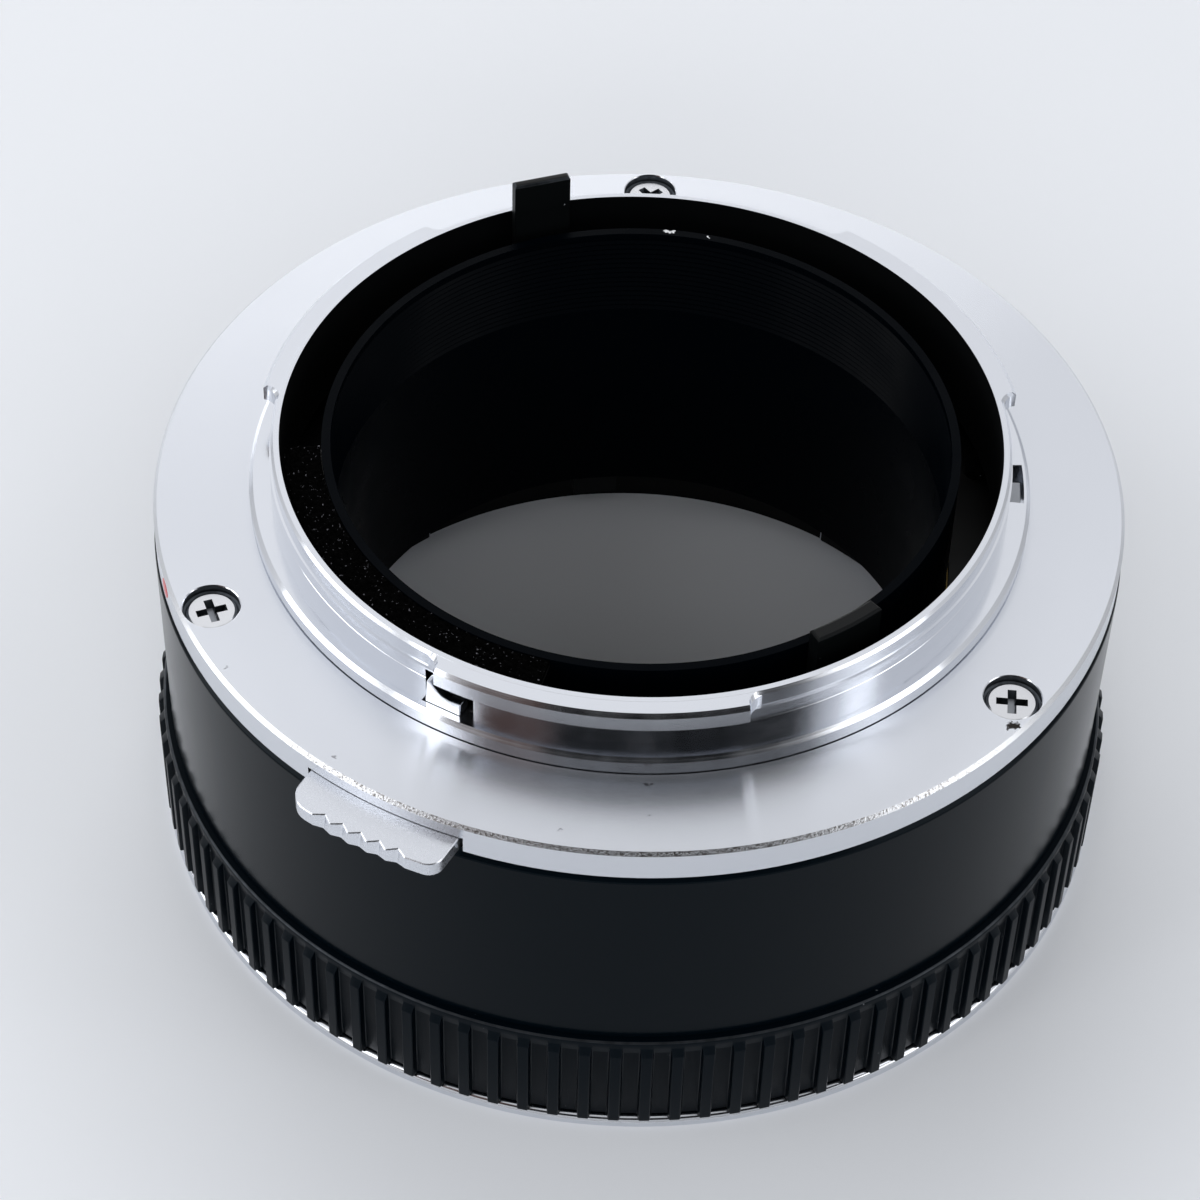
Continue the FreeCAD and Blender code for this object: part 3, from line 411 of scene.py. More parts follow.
profile = [(TUBE_IN, TUBE_LOW), (TUBE_R, TUBE_LOW), (TUBE_R, SHELF_TOP), (SPIGOT_R, SHELF_TOP),
           (SPIGOT_R, TUBE_FLANGE_TOP), (RIM_OUT, TUBE_FLANGE_TOP), (RIM_OUT, RIM_TOP), (RIM_IN, RIM_TOP),
           (RIM_IN, TUBE_FLANGE_TOP), (TUBE_R, TUBE_FLANGE_TOP), (TUBE_R, TUBE_TOP), (TUBE_IN, TUBE_TOP)]
for i in range(GROOVES):
    top = GROOVE_START - i * GROOVE_PITCH
    profile += [(TUBE_IN, top), (TUBE_IN + GROOVE_DEPTH, top - GROOVE_PITCH * 0.35),
                (TUBE_IN + GROOVE_DEPTH, top - GROOVE_PITCH * 0.55)]
profile.append((TUBE_IN, GROOVE_START - GROOVES * GROOVE_PITCH))
inner_tube = to_object("inner_tube_baffle", turn(bmesh.new(), profile))
for r_in, r_out, middle, half in ((20.65, 21.8, 108.7, 15.66), (19.56, 20.65, 319.7, 21.0)):
    run = turn(bmesh.new(), [(r_in, 13.9), (r_out, 13.9), (r_out, 15.6), (r_in, 15.6)],
               sweep=2 * half, middle=middle, steps=40)
    carve(inner_tube, run)
fit(inner_tube, "tube", "tube_black", [tube_black], "inner_tube", sharp=25.0)

# Transmission: brass rings, blackened legs, a plate over them and hairpin springs, all inside the barrel.
# They keep their plain solids, in turned brass, blackened steel, plain steel and spring wire.
brass, tree, shader, place = new_finish("turned_brass", "#b89a5a", 1.0, 0.32)
tone = add(tree, "ShaderNodeTexNoise", {"Vector": place, "Scale": 1 / (2 * MM), "Detail": 4.0})
shade = add(tree, "ShaderNodeMix", {
    "Factor": tone.outputs["Fac"], "A": linear("#9c7f43"), "B": linear("#cbb073")}, data_type="RGBA")
tree.links.new(shade.outputs["Result"], shader.inputs["Base Color"])

steel, tree, shader, place = new_finish("plain_steel", "#8e9196", 1.0, 0.35)
tone = add(tree, "ShaderNodeTexNoise", {"Vector": place, "Scale": 1 / (0.6 * MM), "Detail": 4.0})
gloss = add(tree, "ShaderNodeMapRange", {"Value": tone.outputs["Fac"], "To Min": 0.25, "To Max": 0.45})
tree.links.new(gloss.outputs["Result"], shader.inputs["Roughness"])

spring_wire, tree, shader, place = new_finish("bright_spring_steel", "#b9bcc2", 1.0, 0.22)
tone = add(tree, "ShaderNodeTexNoise", {"Vector": place, "Scale": 1 / (0.8 * MM), "Detail": 3.0})
gloss = add(tree, "ShaderNodeMapRange", {"Value": tone.outputs["Fac"], "To Min": 0.14, "To Max": 0.32})
tree.links.new(gloss.outputs["Result"], shader.inputs["Roughness"])

# Blackened steel: oxide over pressed steel, thin on the edges, with a few bright chips.
blackened, tree, shader, place = new_finish("blackened_steel", "#060809", 0.0, 0.40)
chips = add(tree, "ShaderNodeTexNoise", {"Vector": place, "Scale": 1 / (0.28 * MM), "Detail": 1.0})
chip = add(tree, "ShaderNodeMapRange", {"Value": chips.outputs["Fac"], "From Min": 0.79, "From Max": 0.83})
shade = add(tree, "ShaderNodeMix", {
    "Factor": chip.outputs["Result"], "A": linear("#060809"), "B": linear("#b5bac1")}, data_type="RGBA")
tree.links.new(shade.outputs["Result"], shader.inputs["Base Color"])
shader.inputs["Specular IOR Level"].default_value = 0.14

# Black anodised sheet for the plate over the rings and the light trap.
sheet_black, tree, shader, place = new_finish("black_anodised_sheet", "#050506", 0.0, 0.45)
tone = add(tree, "ShaderNodeTexNoise", {"Vector": place, "Scale": 1 / (1.2 * MM), "Detail": 4.0})
gloss = add(tree, "ShaderNodeMapRange", {"Value": tone.outputs["Fac"], "To Min": 0.36, "To Max": 0.54})
tree.links.new(gloss.outputs["Result"], shader.inputs["Roughness"])

for names, finish in (
        (("diaphragm_ring", "coupling_ring"), brass),
        (("diaphragm_pusher", "coupling_fork", "retainer_screws"), blackened),
        (("ring_retainer", "light_trap_plate"), sheet_black),
        (("mount_leaf_springs", "diaphragm_spring", "coupling_spring", "release_springs"), spring_wire),
        (("leaf_spring_screws", "slide_keeper", "keeper_screws", "spring_posts",
          "inner_tube_screws"), steel)):
    for name in names:
        nodes[name].data.materials.clear()
        nodes[name].data.materials.append(finish)

# Diaphragm lever: a blackened steel strip that stands above the bayonet at the back, for stopping down.
# It is let into the turning ring; its top edges are bevelled and worn a little bright.
LEVER_AZ = 109.7
LEVER_IN = 20.8
LEVER_OUT = 21.5
LEVER_HALF = 1.87
LEVER_LOW = 17.07
LEVER_TOP = 32.26


def bar(azimuth, r_in, r_out, half, low, high):
    """A bar along a radius, sizes in mm."""
    bm = bmesh.new()
    bmesh.ops.create_cube(bm, size=1.0)
    size = Matrix.Diagonal(((r_out - r_in) * MM, 2 * half * MM, (high - low) * MM, 1.0))
    shift = Matrix.Translation(((r_in + r_out) / 2 * MM, 0, (low + high) / 2 * MM))
    spot = Matrix.Rotation(math.radians(azimuth), 4, "Z") @ shift @ size
    bmesh.ops.transform(bm, matrix=spot, verts=bm.verts[:])
    bmesh.ops.recalc_face_normals(bm, faces=bm.faces[:])
    return bm


def soften(bm, width, segments=2, above=-1.0):
    """Rounds the edges of a mesh that lie wholly above a height, all in mm."""
    crisp = [e for e in bm.edges
             if e.calc_face_angle(0.0) > 0.5 and min(v.co.z for v in e.verts) > above * MM]
    bmesh.ops.bevel(bm, geom=crisp, offset=width * MM, offset_type="OFFSET", affect="EDGES",
                    segments=segments, profile=0.5, material=-1, clamp_overlap=True)
    return bm


lever_bar = bar(LEVER_AZ, LEVER_IN, LEVER_OUT, LEVER_HALF, LEVER_LOW, LEVER_TOP)
soften(lever_bar, 0.15, 1, LEVER_TOP - 0.01)
diaphragm_lever = to_object("diaphragm_lever_bar", soften(lever_bar, 0.04))
fit(diaphragm_lever, "diaphragm", "lever_black", [blackened, bare_edge], "diaphragm_lever")
unturn = Matrix.Rotation(math.radians(-LEVER_AZ), 3, "Z")
for face in diaphragm_lever.data.polygons:
    if max(abs(c) for c in unturn @ face.normal) < 0.95:
        face.material_index = 1

# Coupling lever: a curved blackened plate beside the inner tube that carries the aperture setting across.
# Its stem is let into the coupling ring and its wider head stands just inside the bayonet.
COUPLING_AZ = 307.2
STEM_IN = 19.78
STEM_OUT = 20.5
STEM_HALF = 4.3
HEAD_OUT = 20.73
HEAD_HALF = 6.4
STEM_LOW = 17.07
HEAD_LOW = 25.5
HEAD_TOP = 30.1

coupling_lever = to_object("coupling_lever_plate", turn(bmesh.new(), [
    (STEM_IN, STEM_LOW), (STEM_OUT, STEM_LOW), (STEM_OUT, HEAD_LOW + 0.2), (STEM_IN, HEAD_LOW + 0.2)],
    sweep=2 * STEM_HALF, middle=COUPLING_AZ, steps=10))
head = turn(bmesh.new(), [
    (STEM_IN, HEAD_LOW), (HEAD_OUT, HEAD_LOW), (HEAD_OUT, HEAD_TOP), (STEM_IN, HEAD_TOP)],
    sweep=2 * HEAD_HALF, middle=COUPLING_AZ, steps=14)
carve(coupling_lever, soften(head, 0.15, 2, HEAD_TOP - 0.01), "UNION")
fit(coupling_lever, "coupling", "lever_black", [blackened], "coupling_lever")

# Flock pad: a strip of black flock glued on the light trap in the gap between the inner tube and the bayonet.
# The pile stands up unevenly and has caught pale lint.
FLOCK_IN = 19.6
FLOCK_OUT = 21.8
FLOCK_LOW = 28.45
FLOCK_TOP = 28.75
FLOCK_MIDDLE = 221.0
FLOCK_HALF = 35.0

flock, tree, shader, place = new_finish("black_flock", "#0c0b0d", 0.0, 0.95)
lint = add(tree, "ShaderNodeTexNoise", {"Vector": place, "Scale": 1 / (0.22 * MM), "Detail": 2.0})
fleck = add(tree, "ShaderNodeMapRange", {"Value": lint.outputs["Fac"], "From Min": 0.67, "From Max": 0.78})
shade = add(tree, "ShaderNodeMix", {
    "Factor": fleck.outputs["Result"], "A": linear("#010101"), "B": linear("#77777d")}, data_type="RGBA")
pile = add(tree, "ShaderNodeTexNoise", {"Vector": place, "Scale": 1 / (0.12 * MM), "Detail": 3.0})
bump = add(tree, "ShaderNodeBump", {"Height": pile.outputs["Fac"], "Strength": 0.9, "Distance": 0.12 * MM})
tree.links.new(shade.outputs["Result"], shader.inputs["Base Color"])
tree.links.new(bump.outputs["Normal"], shader.inputs["Normal"])
shader.inputs["Specular IOR Level"].default_value = 0.02

bm = turn(bmesh.new(), [
    (FLOCK_IN, FLOCK_LOW), (FLOCK_OUT, FLOCK_LOW), (FLOCK_OUT, FLOCK_TOP), (FLOCK_IN, FLOCK_TOP)],
    sweep=2 * FLOCK_HALF, middle=FLOCK_MIDDLE, steps=160)
across = [e for e in bm.edges if abs(e.verts[0].co.xy.length - e.verts[1].co.xy.length) > MM]
bmesh.ops.subdivide_edges(bm, edges=across, cuts=14, use_grid_fill=True)
draw = random.Random(5)
for vert in bm.verts:
    if vert.co.z > (FLOCK_TOP - 0.01) * MM:
        vert.co.z += draw.uniform(-0.10, 0.10) * MM
flock_pad = to_object("flock_pad_pile", bm)
fit(flock_pad, "tube", "flock", [flock], "flock_pad", sharp=80.0)

# Release slide: a satin-chromed steel tab with five thumb notches, on a stem that runs under the flange.
# Two small coil springs push it out; pressing it draws the lock tongue back from the camera's bayonet.
SLIDE_AZ = 242.3
SLIDE_LOW = 22.98
SLIDE_TOP = 23.98
TAB_IN = 27.64
TAB_OUT = 32.5
TAB_HALF = 4.97
TAB_CORNERS = (1.3, 0.8)
NOTCHES = 5
NOTCH_STEP = 2.18
NOTCH_DEPTH = 0.42
NOTCH_FOOT = 0.16
STEM_END = 22.415
SLIDE_STEM_HALF = 2.2

satin_chrome, tree, shader, place = new_finish("satin_chrome_plate", "#dcdfe5", 1.0, 0.30)
grain = add(tree, "ShaderNodeTexNoise", {"Vector": place, "Scale": 1 / (0.12 * MM), "Detail": 2.0})
dull = add(tree, "ShaderNodeMapRange", {
    "Value": grain.outputs["Fac"], "From Min": 0.3, "From Max": 0.7, "To Min": 0.25, "To Max": 0.36})
bump = add(tree, "ShaderNodeBump", {"Height": grain.outputs["Fac"], "Strength": 0.06, "Distance": 0.01 * MM})
tree.links.new(dull.outputs["Result"], shader.inputs["Roughness"])
tree.links.new(bump.outputs["Normal"], shader.inputs["Normal"])

edge_turn = math.degrees(math.asin(TAB_HALF / TAB_OUT))
apexes = [(i - (NOTCHES - 1) / 2) * NOTCH_STEP for i in range(NOTCHES)]
stations = [-edge_turn]
for apex in apexes:
    stations += [apex - NOTCH_STEP / 2, apex]
stations += [NOTCHES * NOTCH_STEP / 2, edge_turn]
outline = [(TAB_IN, -TAB_HALF)]
for turned in stations:
    reach = TAB_OUT - (NOTCH_FOOT if turned in apexes else 0.0)
    outline.append((reach * math.cos(math.radians(turned)), reach * math.sin(math.radians(turned))))
outline += [(TAB_IN, TAB_HALF), (TAB_IN, SLIDE_STEM_HALF), (STEM_END, SLIDE_STEM_HALF),
            (STEM_END, -SLIDE_STEM_HALF), (TAB_IN, -SLIDE_STEM_HALF)]
bm = bmesh.new()
corners = [bm.verts.new((r * MM, a * MM, SLIDE_LOW * MM)) for r, a in outline]
bmesh.ops.contextual_create(bm, geom=corners)
grown = bmesh.ops.extrude_face_region(bm, geom=bm.faces[:] + bm.edges[:], use_keep_orig=True)["geom"]
upper = [v for v in grown if isinstance(v, bmesh.types.BMVert)]
bmesh.ops.translate(bm, vec=(0, 0, (SLIDE_TOP - SLIDE_LOW) * MM), verts=upper)
for vert in upper:
    turned = math.degrees(math.atan2(vert.co.y, vert.co.x))
    if vert.co.xy.length > (TAB_OUT - 0.3) * MM and any(abs(turned - apex) < 0.01 for apex in apexes):
        vert.co.xy -= vert.co.xy.normalized() * (NOTCH_DEPTH - NOTCH_FOOT) * MM
bmesh.ops.recalc_face_normals(bm, faces=bm.faces[:])
for way, corner in zip((-1, 1), TAB_CORNERS):
    tip = [e for e in bm.edges if abs(e.verts[0].co.z - e.verts[1].co.z) > 0.9 * (SLIDE_TOP - SLIDE_LOW) * MM
           and min(v.co.xy.length for v in e.verts) > (TAB_OUT - 0.05) * MM
           and min(way * v.co.y for v in e.verts) > (TAB_HALF - 0.05) * MM]
    bmesh.ops.bevel(bm, geom=tip, offset=corner * MM, offset_type="OFFSET", affect="EDGES", segments=6,
                    profile=0.5, material=-1, clamp_overlap=True)
soften(bm, 0.06, 1)
slide_turn = Matrix.Rotation(math.radians(SLIDE_AZ), 3, "Z")
bmesh.ops.rotate(bm, cent=(0, 0, 0), matrix=slide_turn, verts=bm.verts[:])
release_tab = to_object("release_tab_slide", bm)
fit(release_tab, "release", "chrome_tab", [satin_chrome], "release_slide")

# Lock tongue: a polished chromed steel block that stands in a window of the bayonet neck.
# It is fixed on the slide's stem and draws back with it; a ramp on its top guides it into the camera.
TONGUE_IN = 22.415
TONGUE_OUT = 23.365
TONGUE_HALF = 1.27
TONGUE_TOP = 27.95
RAMP_FOOT = 27.0

bm = bmesh.new()
side = [(-TONGUE_HALF, SLIDE_TOP), (TONGUE_HALF, SLIDE_TOP), (TONGUE_HALF, RAMP_FOOT + 0.1),
        (0.45, RAMP_FOOT), (0.0, RAMP_FOOT + 0.18), (-0.45, RAMP_FOOT + 0.55), (-0.75, TONGUE_TOP),
        (-TONGUE_HALF + 0.3, TONGUE_TOP)]
bmesh.ops.contextual_create(bm, geom=[bm.verts.new((TONGUE_IN * MM, a * MM, z * MM)) for a, z in side])
grown = bmesh.ops.extrude_face_region(bm, geom=bm.faces[:] + bm.edges[:], use_keep_orig=True)["geom"]
bmesh.ops.translate(bm, vec=((TONGUE_OUT - TONGUE_IN) * MM, 0, 0),
                    verts=[v for v in grown if isinstance(v, bmesh.types.BMVert)])
bmesh.ops.recalc_face_normals(bm, faces=bm.faces[:])
soften(bm, 0.06, 2)
bmesh.ops.rotate(bm, cent=(0, 0, 0), matrix=slide_turn, verts=bm.verts[:])
tongue = to_object("lock_tongue_block", bm)
fit(tongue, "release", "chrome_tab", [polished], "lock_tongue")

# Camera-side mount: one chromed brass ring, turned with a flat seat, a collar and a neck.
# Its three lugs and the slots for the release slide are milled, and its bore is painted black.
# Three screws hold it on the barrel.
FLANGE_R = 30.0
FLANGE_LOW = 22.93
SEAT_Z = 25.0
COLLAR_R = 24.07
COLLAR_TOP = 26.16
NECK_R = 22.74
GAP_R = 22.6
BORE_R = 22.1
LUG_R = 23.57
LUG_LOW = 28.15
MOUNT_TOP = 29.36
LUG_HALF = 22.7
LUG_END = 3.1
RIM_CHAMFER = 0.22
LUG_CHAMFER = 0.25
COLLAR_CHAMFER = 0.25
TOP_CHAMFER = 0.16
SLOT_TOP = 24.03
MOUNT_SCREWS = (90.2, 206.0, 322.8)
MOUNT_SCREW_R = 28.012
RECESS_R = 1.72
STOP_R = 23.66
STOP_MIDDLE = 359.5
STOP_HALF = 4.1
STOP_LOW = 24.66

# Chipped chrome: the flange's outer chamfer, dented and rubbed by mounting, so it sparkles dark and bright.
chipped, tree, shader, place = new_finish("chipped_chrome_edge", "#c9cbd0", 1.0, 0.26)
split = add(tree, "ShaderNodeSeparateXYZ", {"Vector": place})
struck = add(tree, "ShaderNodeMapRange", {
    "Value": split.outputs["Y"], "From Min": -20 * MM, "From Max": -25 * MM})
chips = add(tree, "ShaderNodeTexNoise", {"Vector": place, "Scale": 1 / (0.15 * MM), "Detail": 3.0})
dark = add(tree, "ShaderNodeMapRange", {
    "Value": chips.outputs["Fac"], "From Min": 0.50, "From Max": 0.64, "To Max": struck.outputs["Result"]})
shade = add(tree, "ShaderNodeMix", {
    "Factor": dark.outputs["Result"], "A": linear("#d8dade"), "B": linear("#868381")}, data_type="RGBA")
height = add(tree, "ShaderNodeMath", {
    0: chips.outputs["Fac"], 1: struck.outputs["Result"]}, operation="MULTIPLY")
bump = add(tree, "ShaderNodeBump", {
    "Height": height.outputs["Value"], "Strength": 0.4, "Distance": 0.05 * MM})
tree.links.new(shade.outputs["Result"], shader.inputs["Base Color"])
tree.links.new(bump.outputs["Normal"], shader.inputs["Normal"])

# Painted recess shade: a dark mottled metal on the walls of the screw recesses and of the screws' crosses,
# standing in for the shade that falls in them.
recess_shade, tree, shader, place = new_finish("painted_recess_shade", "#3a3d42", 1.0, 0.42)
tone = add(tree, "ShaderNodeTexNoise", {"Vector": place, "Scale": 1 / (0.4 * MM), "Detail": 3.0})
shade = add(tree, "ShaderNodeMix", {
    "Factor": tone.outputs["Fac"], "A": linear("#1f2225"), "B": linear("#62676d")}, data_type="RGBA")
tree.links.new(shade.outputs["Result"], shader.inputs["Base Color"])

camera_mount = to_object("camera_mount_ring", turn(bmesh.new(), [
    (BORE_R, FLANGE_LOW), (25.05, FLANGE_LOW), (25.05, FLANGE_LOW - 1.0), (26.45, FLANGE_LOW - 1.0),
    (26.45, FLANGE_LOW), (FLANGE_R, FLANGE_LOW), (FLANGE_R, SEAT_Z - RIM_CHAMFER),
    (FLANGE_R - RIM_CHAMFER, SEAT_Z),
    (COLLAR_R + 0.06, SEAT_Z), (COLLAR_R + 0.06, SEAT_Z - 0.2), (COLLAR_R, SEAT_Z - 0.2),
    (COLLAR_R, COLLAR_TOP - COLLAR_CHAMFER), (COLLAR_R - COLLAR_CHAMFER, COLLAR_TOP), (NECK_R, COLLAR_TOP),
    (NECK_R, 27.27), (NECK_R - 0.04, 27.31), (NECK_R, 27.35), (NECK_R, LUG_LOW + 0.03),
    (GAP_R, LUG_LOW + 0.05), (GAP_R, MOUNT_TOP - TOP_CHAMFER), (GAP_R - TOP_CHAMFER, MOUNT_TOP),
    (BORE_R, MOUNT_TOP)]))
for middle in LUG_MIDDLES:
    lug_top = MOUNT_TOP - 0.004
    section = [(BORE_R + 0.1, LUG_LOW), (LUG_R, LUG_LOW), (LUG_R, lug_top - LUG_CHAMFER),
               (LUG_R - LUG_CHAMFER, lug_top), (BORE_R + 0.1, lug_top)]
    bm = turn(bmesh.new(), section, sweep=2 * LUG_HALF, middle=middle, steps=44)
    for way in (-1, 1):
        side = Matrix.Rotation(math.radians(middle + way * LUG_HALF), 3, "Z") @ Vector((0, way, 0))
        end = max(bm.faces, key=lambda f: f.normal.dot(side))
        sunk = 0.0
        for share in (0.02, 0.07, 0.15, 0.25, 0.37, 0.5, 0.64, 0.8, 1.0):
            inner = end
            grown = bmesh.ops.extrude_face_region(bm, geom=[inner])["geom"]
            end = [f for f in grown if isinstance(f, bmesh.types.BMFace)][0]
            bmesh.ops.delete(bm, geom=[inner], context="FACES_ONLY")
            here = math.radians(middle + way * (LUG_HALF + LUG_END * share))
            drop = (LUG_R - GAP_R + 0.02) * math.sqrt(1 - (1 - share) ** 2)
            for vert in end.verts:
                reach = vert.co.xy.length
                if reach > (BORE_R + 0.2) * MM:
                    reach -= (drop - sunk) * MM
                vert.co.xy = Vector((math.cos(here), math.sin(here))) * reach
            sunk = drop
    bmesh.ops.recalc_face_normals(bm, faces=bm.faces[:])
    carve(camera_mount, bm, "UNION")
carve(camera_mount, bar(SLIDE_AZ, 26.09, 33.0, 5.2, FLANGE_LOW - 1.1, SLOT_TOP))
carve(camera_mount, bar(SLIDE_AZ, 20.0, 28.0, 2.35, FLANGE_LOW - 0.1, SLOT_TOP))
carve(camera_mount, bar(SLIDE_AZ, 22.1, 26.5, 6.35, FLANGE_LOW - 1.1, FLANGE_LOW))
window = bar(SLIDE_AZ, 20.0, NECK_R + 0.2, 1.6, COLLAR_TOP + 0.01, LUG_LOW - 0.1)
bmesh.ops.rotate(window, cent=(0, 0, 0), verts=window.verts[:],
                 matrix=Matrix.Rotation(math.radians(0.35), 3, "Z"))
carve(camera_mount, window)
carve(camera_mount, bar(SLIDE_AZ, 20.0, TONGUE_OUT + 0.04, TONGUE_HALF + 0.04, FLANGE_LOW, LUG_LOW - 0.1))
carve(camera_mount, turn(bmesh.new(), [
    (NECK_R - 0.05, STOP_LOW), (STOP_R, STOP_LOW), (STOP_R, 26.4), (NECK_R - 0.05, 26.4)],
    sweep=2 * STOP_HALF, middle=STOP_MIDDLE, steps=12))
for azimuth in MOUNT_SCREWS:
    sink = turn(bmesh.new(), [
        (0, 21.0), (0.9, 21.0), (0.9, 23.8), (1.55, 24.42), (RECESS_R, 24.5), (RECESS_R, 24.95),
        (RECESS_R + 0.06, 25.01), (RECESS_R + 0.06, 25.3), (0, 25.3)], steps=48)
    spot = Matrix.Rotation(math.radians(azimuth), 4, "Z") @ Matrix.Translation((MOUNT_SCREW_R * MM, 0, 0))
    bmesh.ops.transform(sink, matrix=spot, verts=sink.verts[:])
    carve(camera_mount, sink)
fit(camera_mount, "tube", "chrome_mount", [polished, chrome, bore_black, chipped, recess_shade], "rear_mount")
screw_spots = [Matrix.Rotation(math.radians(a), 3, "Z") @ Vector((MOUNT_SCREW_R * MM, 0, 0))
               for a in MOUNT_SCREWS]
for face in camera_mount.data.polygons:
    reach = face.center.xy.length
    outward = face.center.xy.normalized().dot(face.normal.xy)
    if reach > (COLLAR_R + 0.3) * MM and (face.normal.z > 0.9 or outward > 0.9):
        face.material_index = 1
    if reach > (LUG_R - 0.05) * MM and face.center.z > LUG_LOW * MM and outward > 0.9:
        face.material_index = 1
    if reach > (FLANGE_R - RIM_CHAMFER) * MM and 0.5 < face.normal.z < 0.9:
        face.material_index = 3
    if reach < (BORE_R + 0.05) * MM and outward < -0.5:
        face.material_index = 2
    # Recess walls below the seat take the dark metal: painted shade in the screw recesses.
    near = min((face.center.xy - spot.xy).length for spot in screw_spots)
    if near < (RECESS_R + 0.02) * MM and face.center.z < (SEAT_Z - 0.07) * MM:
        face.material_index = 4

# Mount screws: three nickel-plated steel screws with a pressed cross recess and a flat countersunk head.
# They hold the camera-side mount on the barrel, with their heads sunk below the seat.
HEAD_R = 1.53
HEAD_TOP_Z = 24.6
HEAD_EDGE = 0.16
CROSS_HALF = 0.29
CROSS_REACH = 1.03
CROSS_DEPTH = 0.5
CROSS_TURNS = {90.2: 40.0, 206.0: 22.0, 322.8: -3.0}

nickel, tree, shader, place = new_finish("bright_nickel_plate", "#dcdde0", 1.0, 0.2)
tone = add(tree, "ShaderNodeTexNoise", {"Vector": place, "Scale": 1 / (0.5 * MM), "Detail": 4.0})
gloss = add(tree, "ShaderNodeMapRange", {"Value": tone.outputs["Fac"], "To Min": 0.12, "To Max": 0.3})
tree.links.new(gloss.outputs["Result"], shader.inputs["Roughness"])

joined = bmesh.new()
for azimuth, twist in CROSS_TURNS.items():
    one = to_object("one_screw", turn(bmesh.new(), [
        (0, 19.7), (0.85, 19.7), (0.85, 23.8), (HEAD_R, 24.4), (HEAD_R, HEAD_TOP_Z - HEAD_EDGE * 0.6),
        (HEAD_R - HEAD_EDGE, HEAD_TOP_Z), (0, HEAD_TOP_Z)], steps=48))
    for quarter in (0, 90):
        blade = bar(0, -CROSS_REACH, CROSS_REACH, CROSS_HALF, HEAD_TOP_Z - CROSS_DEPTH, HEAD_TOP_Z + 0.2)
        for vert in blade.verts:
            if vert.co.z < (HEAD_TOP_Z - 0.3) * MM:
                vert.co.xy *= 0.66
        bmesh.ops.rotate(blade, cent=(0, 0, 0), verts=blade.verts[:],
                         matrix=Matrix.Rotation(math.radians(quarter + twist), 3, "Z"))
        carve(one, blade)
    around = Vector((math.cos(math.radians(azimuth)), math.sin(math.radians(azimuth)), 0))
    one.data.transform(Matrix.Translation(around * MOUNT_SCREW_R * MM))
    joined.from_mesh(one.data)
    bpy.data.objects.remove(one)
mount_screws = to_object("mount_screw_set", joined)
fit(mount_screws, "tube", "screw_steel", [nickel, recess_shade, steel], "rear_mount_screws")
for face in mount_screws.data.polygons:
    # Cross walls take the dark metal and cross floors plain steel, darker than the nickel head: both painted
    # shade in the crosses.
    near = min((face.center.xy - spot.xy).length for spot in screw_spots)
    if near < (CROSS_REACH + 0.05) * MM and 23.5 * MM < face.center.z < (HEAD_TOP_Z - 0.02) * MM:
        face.material_index = 2 if face.normal.z > 0.7 else 1

# Lens-side screws: four smaller nickel-plated steel screws with a cross recess.
# They are countersunk in the lens seat and hold the lens-side mount on the barrel.
joined = bmesh.new()
for azimuth in FRONT_SCREWS:
    one = to_object("one_screw", turn(bmesh.new(), [
        (0, 0.1), (1.2, 0.1), (0.65, 0.8), (0.65, 5.0), (0, 5.0)], steps=36))
    for quarter in (0, 90):
        blade = bar(0, -0.7, 0.7, 0.17, -0.2, 0.5)
        bmesh.ops.rotate(blade, cent=(0, 0, 0), verts=blade.verts[:],
                         matrix=Matrix.Rotation(math.radians(quarter + azimuth), 3, "Z"))
        carve(one, blade)
    around = Vector((math.cos(math.radians(azimuth)), math.sin(math.radians(azimuth)), 0))
    one.data.transform(Matrix.Translation(around * FRONT_SCREW_R * MM))
    joined.from_mesh(one.data)
    bpy.data.objects.remove(one)
lens_screws = to_object("lens_mount_screw_set", joined)
fit(lens_screws, "tube", "screw_steel", [nickel], "front_mount_screws")

# Bayonet stop: a small plain steel block, let into a pocket of the collar's ledge.
# The camera's bayonet turns against it and comes to rest.
STOP_TOP = 26.01
STOP_SHARE = 0.58
stop_half = STOP_HALF * STOP_SHARE
stop = to_object("bayonet_stop_block", soften(turn(bmesh.new(), [
    (NECK_R, STOP_LOW), (STOP_R - 0.2, STOP_LOW), (STOP_R - 0.2, STOP_TOP), (NECK_R, STOP_TOP)],
    sweep=2 * stop_half, middle=STOP_MIDDLE - STOP_HALF + stop_half, steps=6), 0.05))
fit(stop, "tube", "screw_steel", [steel], "bayonet_stop")

# Index dot: red enamel, filled into a shallow round hole of the flange's edge.
# It is lined up with the camera's own mark when the tube is put on.
DOT_AZ = 199.4
DOT_R = 0.65
red, tree, shader, place = new_finish("red_enamel", "#c8202b", 0.0, 0.28)
tone = add(tree, "ShaderNodeTexNoise", {"Vector": place, "Scale": 1 / (0.5 * MM), "Detail": 3.0})
shade = add(tree, "ShaderNodeMix", {
    "Factor": tone.outputs["Fac"], "A": linear("#b81a25"), "B": linear("#d62b36")}, data_type="RGBA")
tree.links.new(shade.outputs["Result"], shader.inputs["Base Color"])
bm = bmesh.new()
bmesh.ops.create_cone(bm, cap_ends=True, segments=32, radius1=DOT_R * MM, radius2=(DOT_R - 0.03) * MM,
                      depth=0.42 * MM)
spot = (Matrix.Rotation(math.radians(DOT_AZ), 4, "Z")
        @ Matrix.Translation(((FLANGE_R - 0.19) * MM, 0, 0.023965))
        @ Matrix.Rotation(math.radians(90), 4, "Y"))
bmesh.ops.transform(bm, matrix=spot, verts=bm.verts[:])
index_dot = to_object("index_dot_red", bm)
fit(index_dot, "tube", "dot_red", [red], "index_dot")

